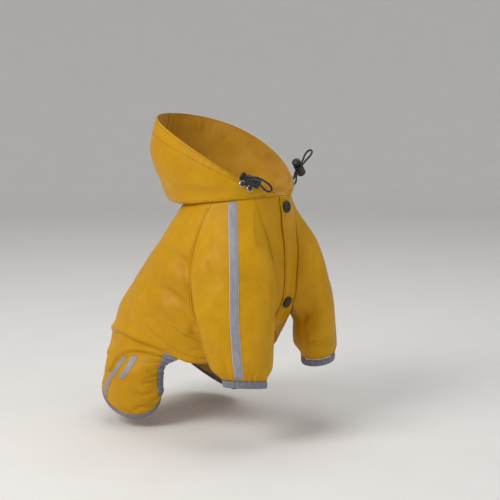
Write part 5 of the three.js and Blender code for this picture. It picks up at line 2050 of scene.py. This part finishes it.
@dataclass(frozen=True)
class Studio:
    """The camera at the photograph's place, a plain pale floor and soft light."""

    turn: float = 38.0
    tilt: float = 7.5
    distance: float = 1200.0
    focal_pixels: float = 1198.0
    frame_pixels: float = 500.0
    aim_right: float = -12.0
    aim_up: float = 50.0
    sensor: float = 36.0
    floor_z: float = -230.0
    wall_from: float = 2200.0
    wall_bend: float = 1200.0
    wall_top: float = 3500.0

    def axes(self) -> tuple[Array, Array, Array]:
        """The camera's right, up and forward directions."""
        right = np.array([cosine(self.turn), sine(self.turn), 0.0])
        away = np.array([-sine(self.turn), cosine(self.turn), 0.0])
        upright = np.array([0.0, 0.0, 1.0])
        forward = away * cosine(self.tilt) - upright * sine(self.tilt)
        up = away * sine(self.tilt) + upright * cosine(self.tilt)
        return right, up, forward

    def camera(self) -> None:
        """The camera: back from the neckline's middle along its axis, then moved across the frame.

        A point at the distance D shows at the focal length in pixels over D for each millimetre, so
        the move is the wanted pixels times D over the focal length.
        """
        right, up, forward = self.axes()
        scale = self.distance / self.focal_pixels
        at = -forward * self.distance - right * self.aim_right * scale - up * self.aim_up * scale
        data = bpy.data.cameras.new("camera")
        data.sensor_width = self.sensor
        data.lens = self.focal_pixels / self.frame_pixels * self.sensor
        data.clip_start, data.clip_end = 0.05, 50.0
        camera = bpy.data.objects.new("camera", data)
        bpy.context.scene.collection.objects.link(camera)
        basis = Matrix(np.column_stack([right, up, -forward]).tolist())
        camera.matrix_world = Matrix.Translation(((at - WITHERS) * MM).tolist()) @ basis.to_4x4()
        bpy.context.scene.camera = camera

    def softbox(
        self, name: str, place: Sequence[float], size: float, power: float, tint: Sequence[float]
    ) -> None:
        """A square area light that faces the coat."""
        data = bpy.data.lights.new(name, "AREA")
        data.shape, data.size, data.energy, data.color = "SQUARE", size, power, tint
        lamp = bpy.data.objects.new(name, data)
        bpy.context.scene.collection.objects.link(lamp)
        lamp.location = place
        lamp.rotation_mode = "QUATERNION"
        aim = Vector((0.08, 0.0, -0.05)) - Vector(place)
        lamp.rotation_quaternion = aim.to_track_quat("-Z", "Y")

    def lights(self) -> None:
        """A large key from the camera's left, a fill from its right, a top light and a pale room."""
        right, _, forward = self.axes()
        level = np.array([forward[0], forward[1], 0.0])
        for name, across, toward, height, size, power, tint in (
            ("key", -0.95, -0.9, 1.0, 0.8, 15.0, (1.0, 0.98, 0.95)),
            ("fill", 1.3, -0.8, 0.45, 1.3, 3.0, (0.97, 0.98, 1.0)),
            ("top", 0.1, 0.3, 1.5, 1.0, 7.0, (1.0, 1.0, 1.0)),
        ):
            place = right * across + level * toward + np.array([0, 0, height])
            self.softbox(name, place.tolist(), size, power, tint)
        world = bpy.data.worlds.new("room")
        world.use_nodes = True
        sky = world.node_tree.nodes["Background"]
        sky.inputs["Color"].default_value = (0.96, 0.96, 0.97, 1.0)
        sky.inputs["Strength"].default_value = 0.5
        bpy.context.scene.world = world
        bpy.context.scene.view_settings.view_transform = "Standard"

    def floor(self) -> None:
        """A round floor of pale paint that curves up into a wall all round the coat, with a faint mottle."""
        bend, angle = np.linspace(0, 90, 25), np.arange(0, 360, 5)
        curve = self.wall_from + self.wall_bend * sine(bend)
        reach = np.concatenate([[1.0], curve, [self.wall_from + self.wall_bend]])
        rise = np.concatenate([[0.0], self.wall_bend * (1 - cosine(bend)), [self.wall_top]])
        x, y = reach[:, None] * cosine(angle), reach[:, None] * sine(angle)
        points = stack(x, y, self.floor_z + rise[:, None])
        obj = grid_piece("floor", points, stack(0 * x, 0 * y, 1.0), wrap=True)
        shader = Shader("pale_floor", Specular_IOR_Level=0.3)
        mottle = shader.noise(shader.place(), 60.0, 3.0)
        tones = (colour(230, 229, 227), colour(236, 235, 233))
        shader.feed("Base Color", shader.blend(mottle, *tones))
        shader.feed("Roughness", shader.range(mottle, 0.3, 0.7, 0.6, 0.7))
        obj.data.materials.append(shader.material)

    def build(self) -> None:
        """Makes the floor and the lights."""
        self.floor()
        self.lights()


def write_sizes() -> None:
    """Updates the view layer."""
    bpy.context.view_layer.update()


def main() -> None:
    """Builds the camera and the cords first, then the coat piece by piece and the room around it."""
    logging.basicConfig(level=logging.INFO, format="%(message)s")
    studio = Studio()
    studio.camera()
    finishes = Finishes()
    hood = make_hood()
    for side in Side:
        CordLock(finishes, hood, side).build()
    body = Body(finishes, make_body())
    body.build()
    Hood(finishes, hood).build()
    for side in Side:
        Sleeve(finishes, side).build()
        TrouserLeg(finishes, side).build()
    Snaps(finishes, body).build()
    studio.build()
    write_sizes()


if __name__ == "__main__":
    main()
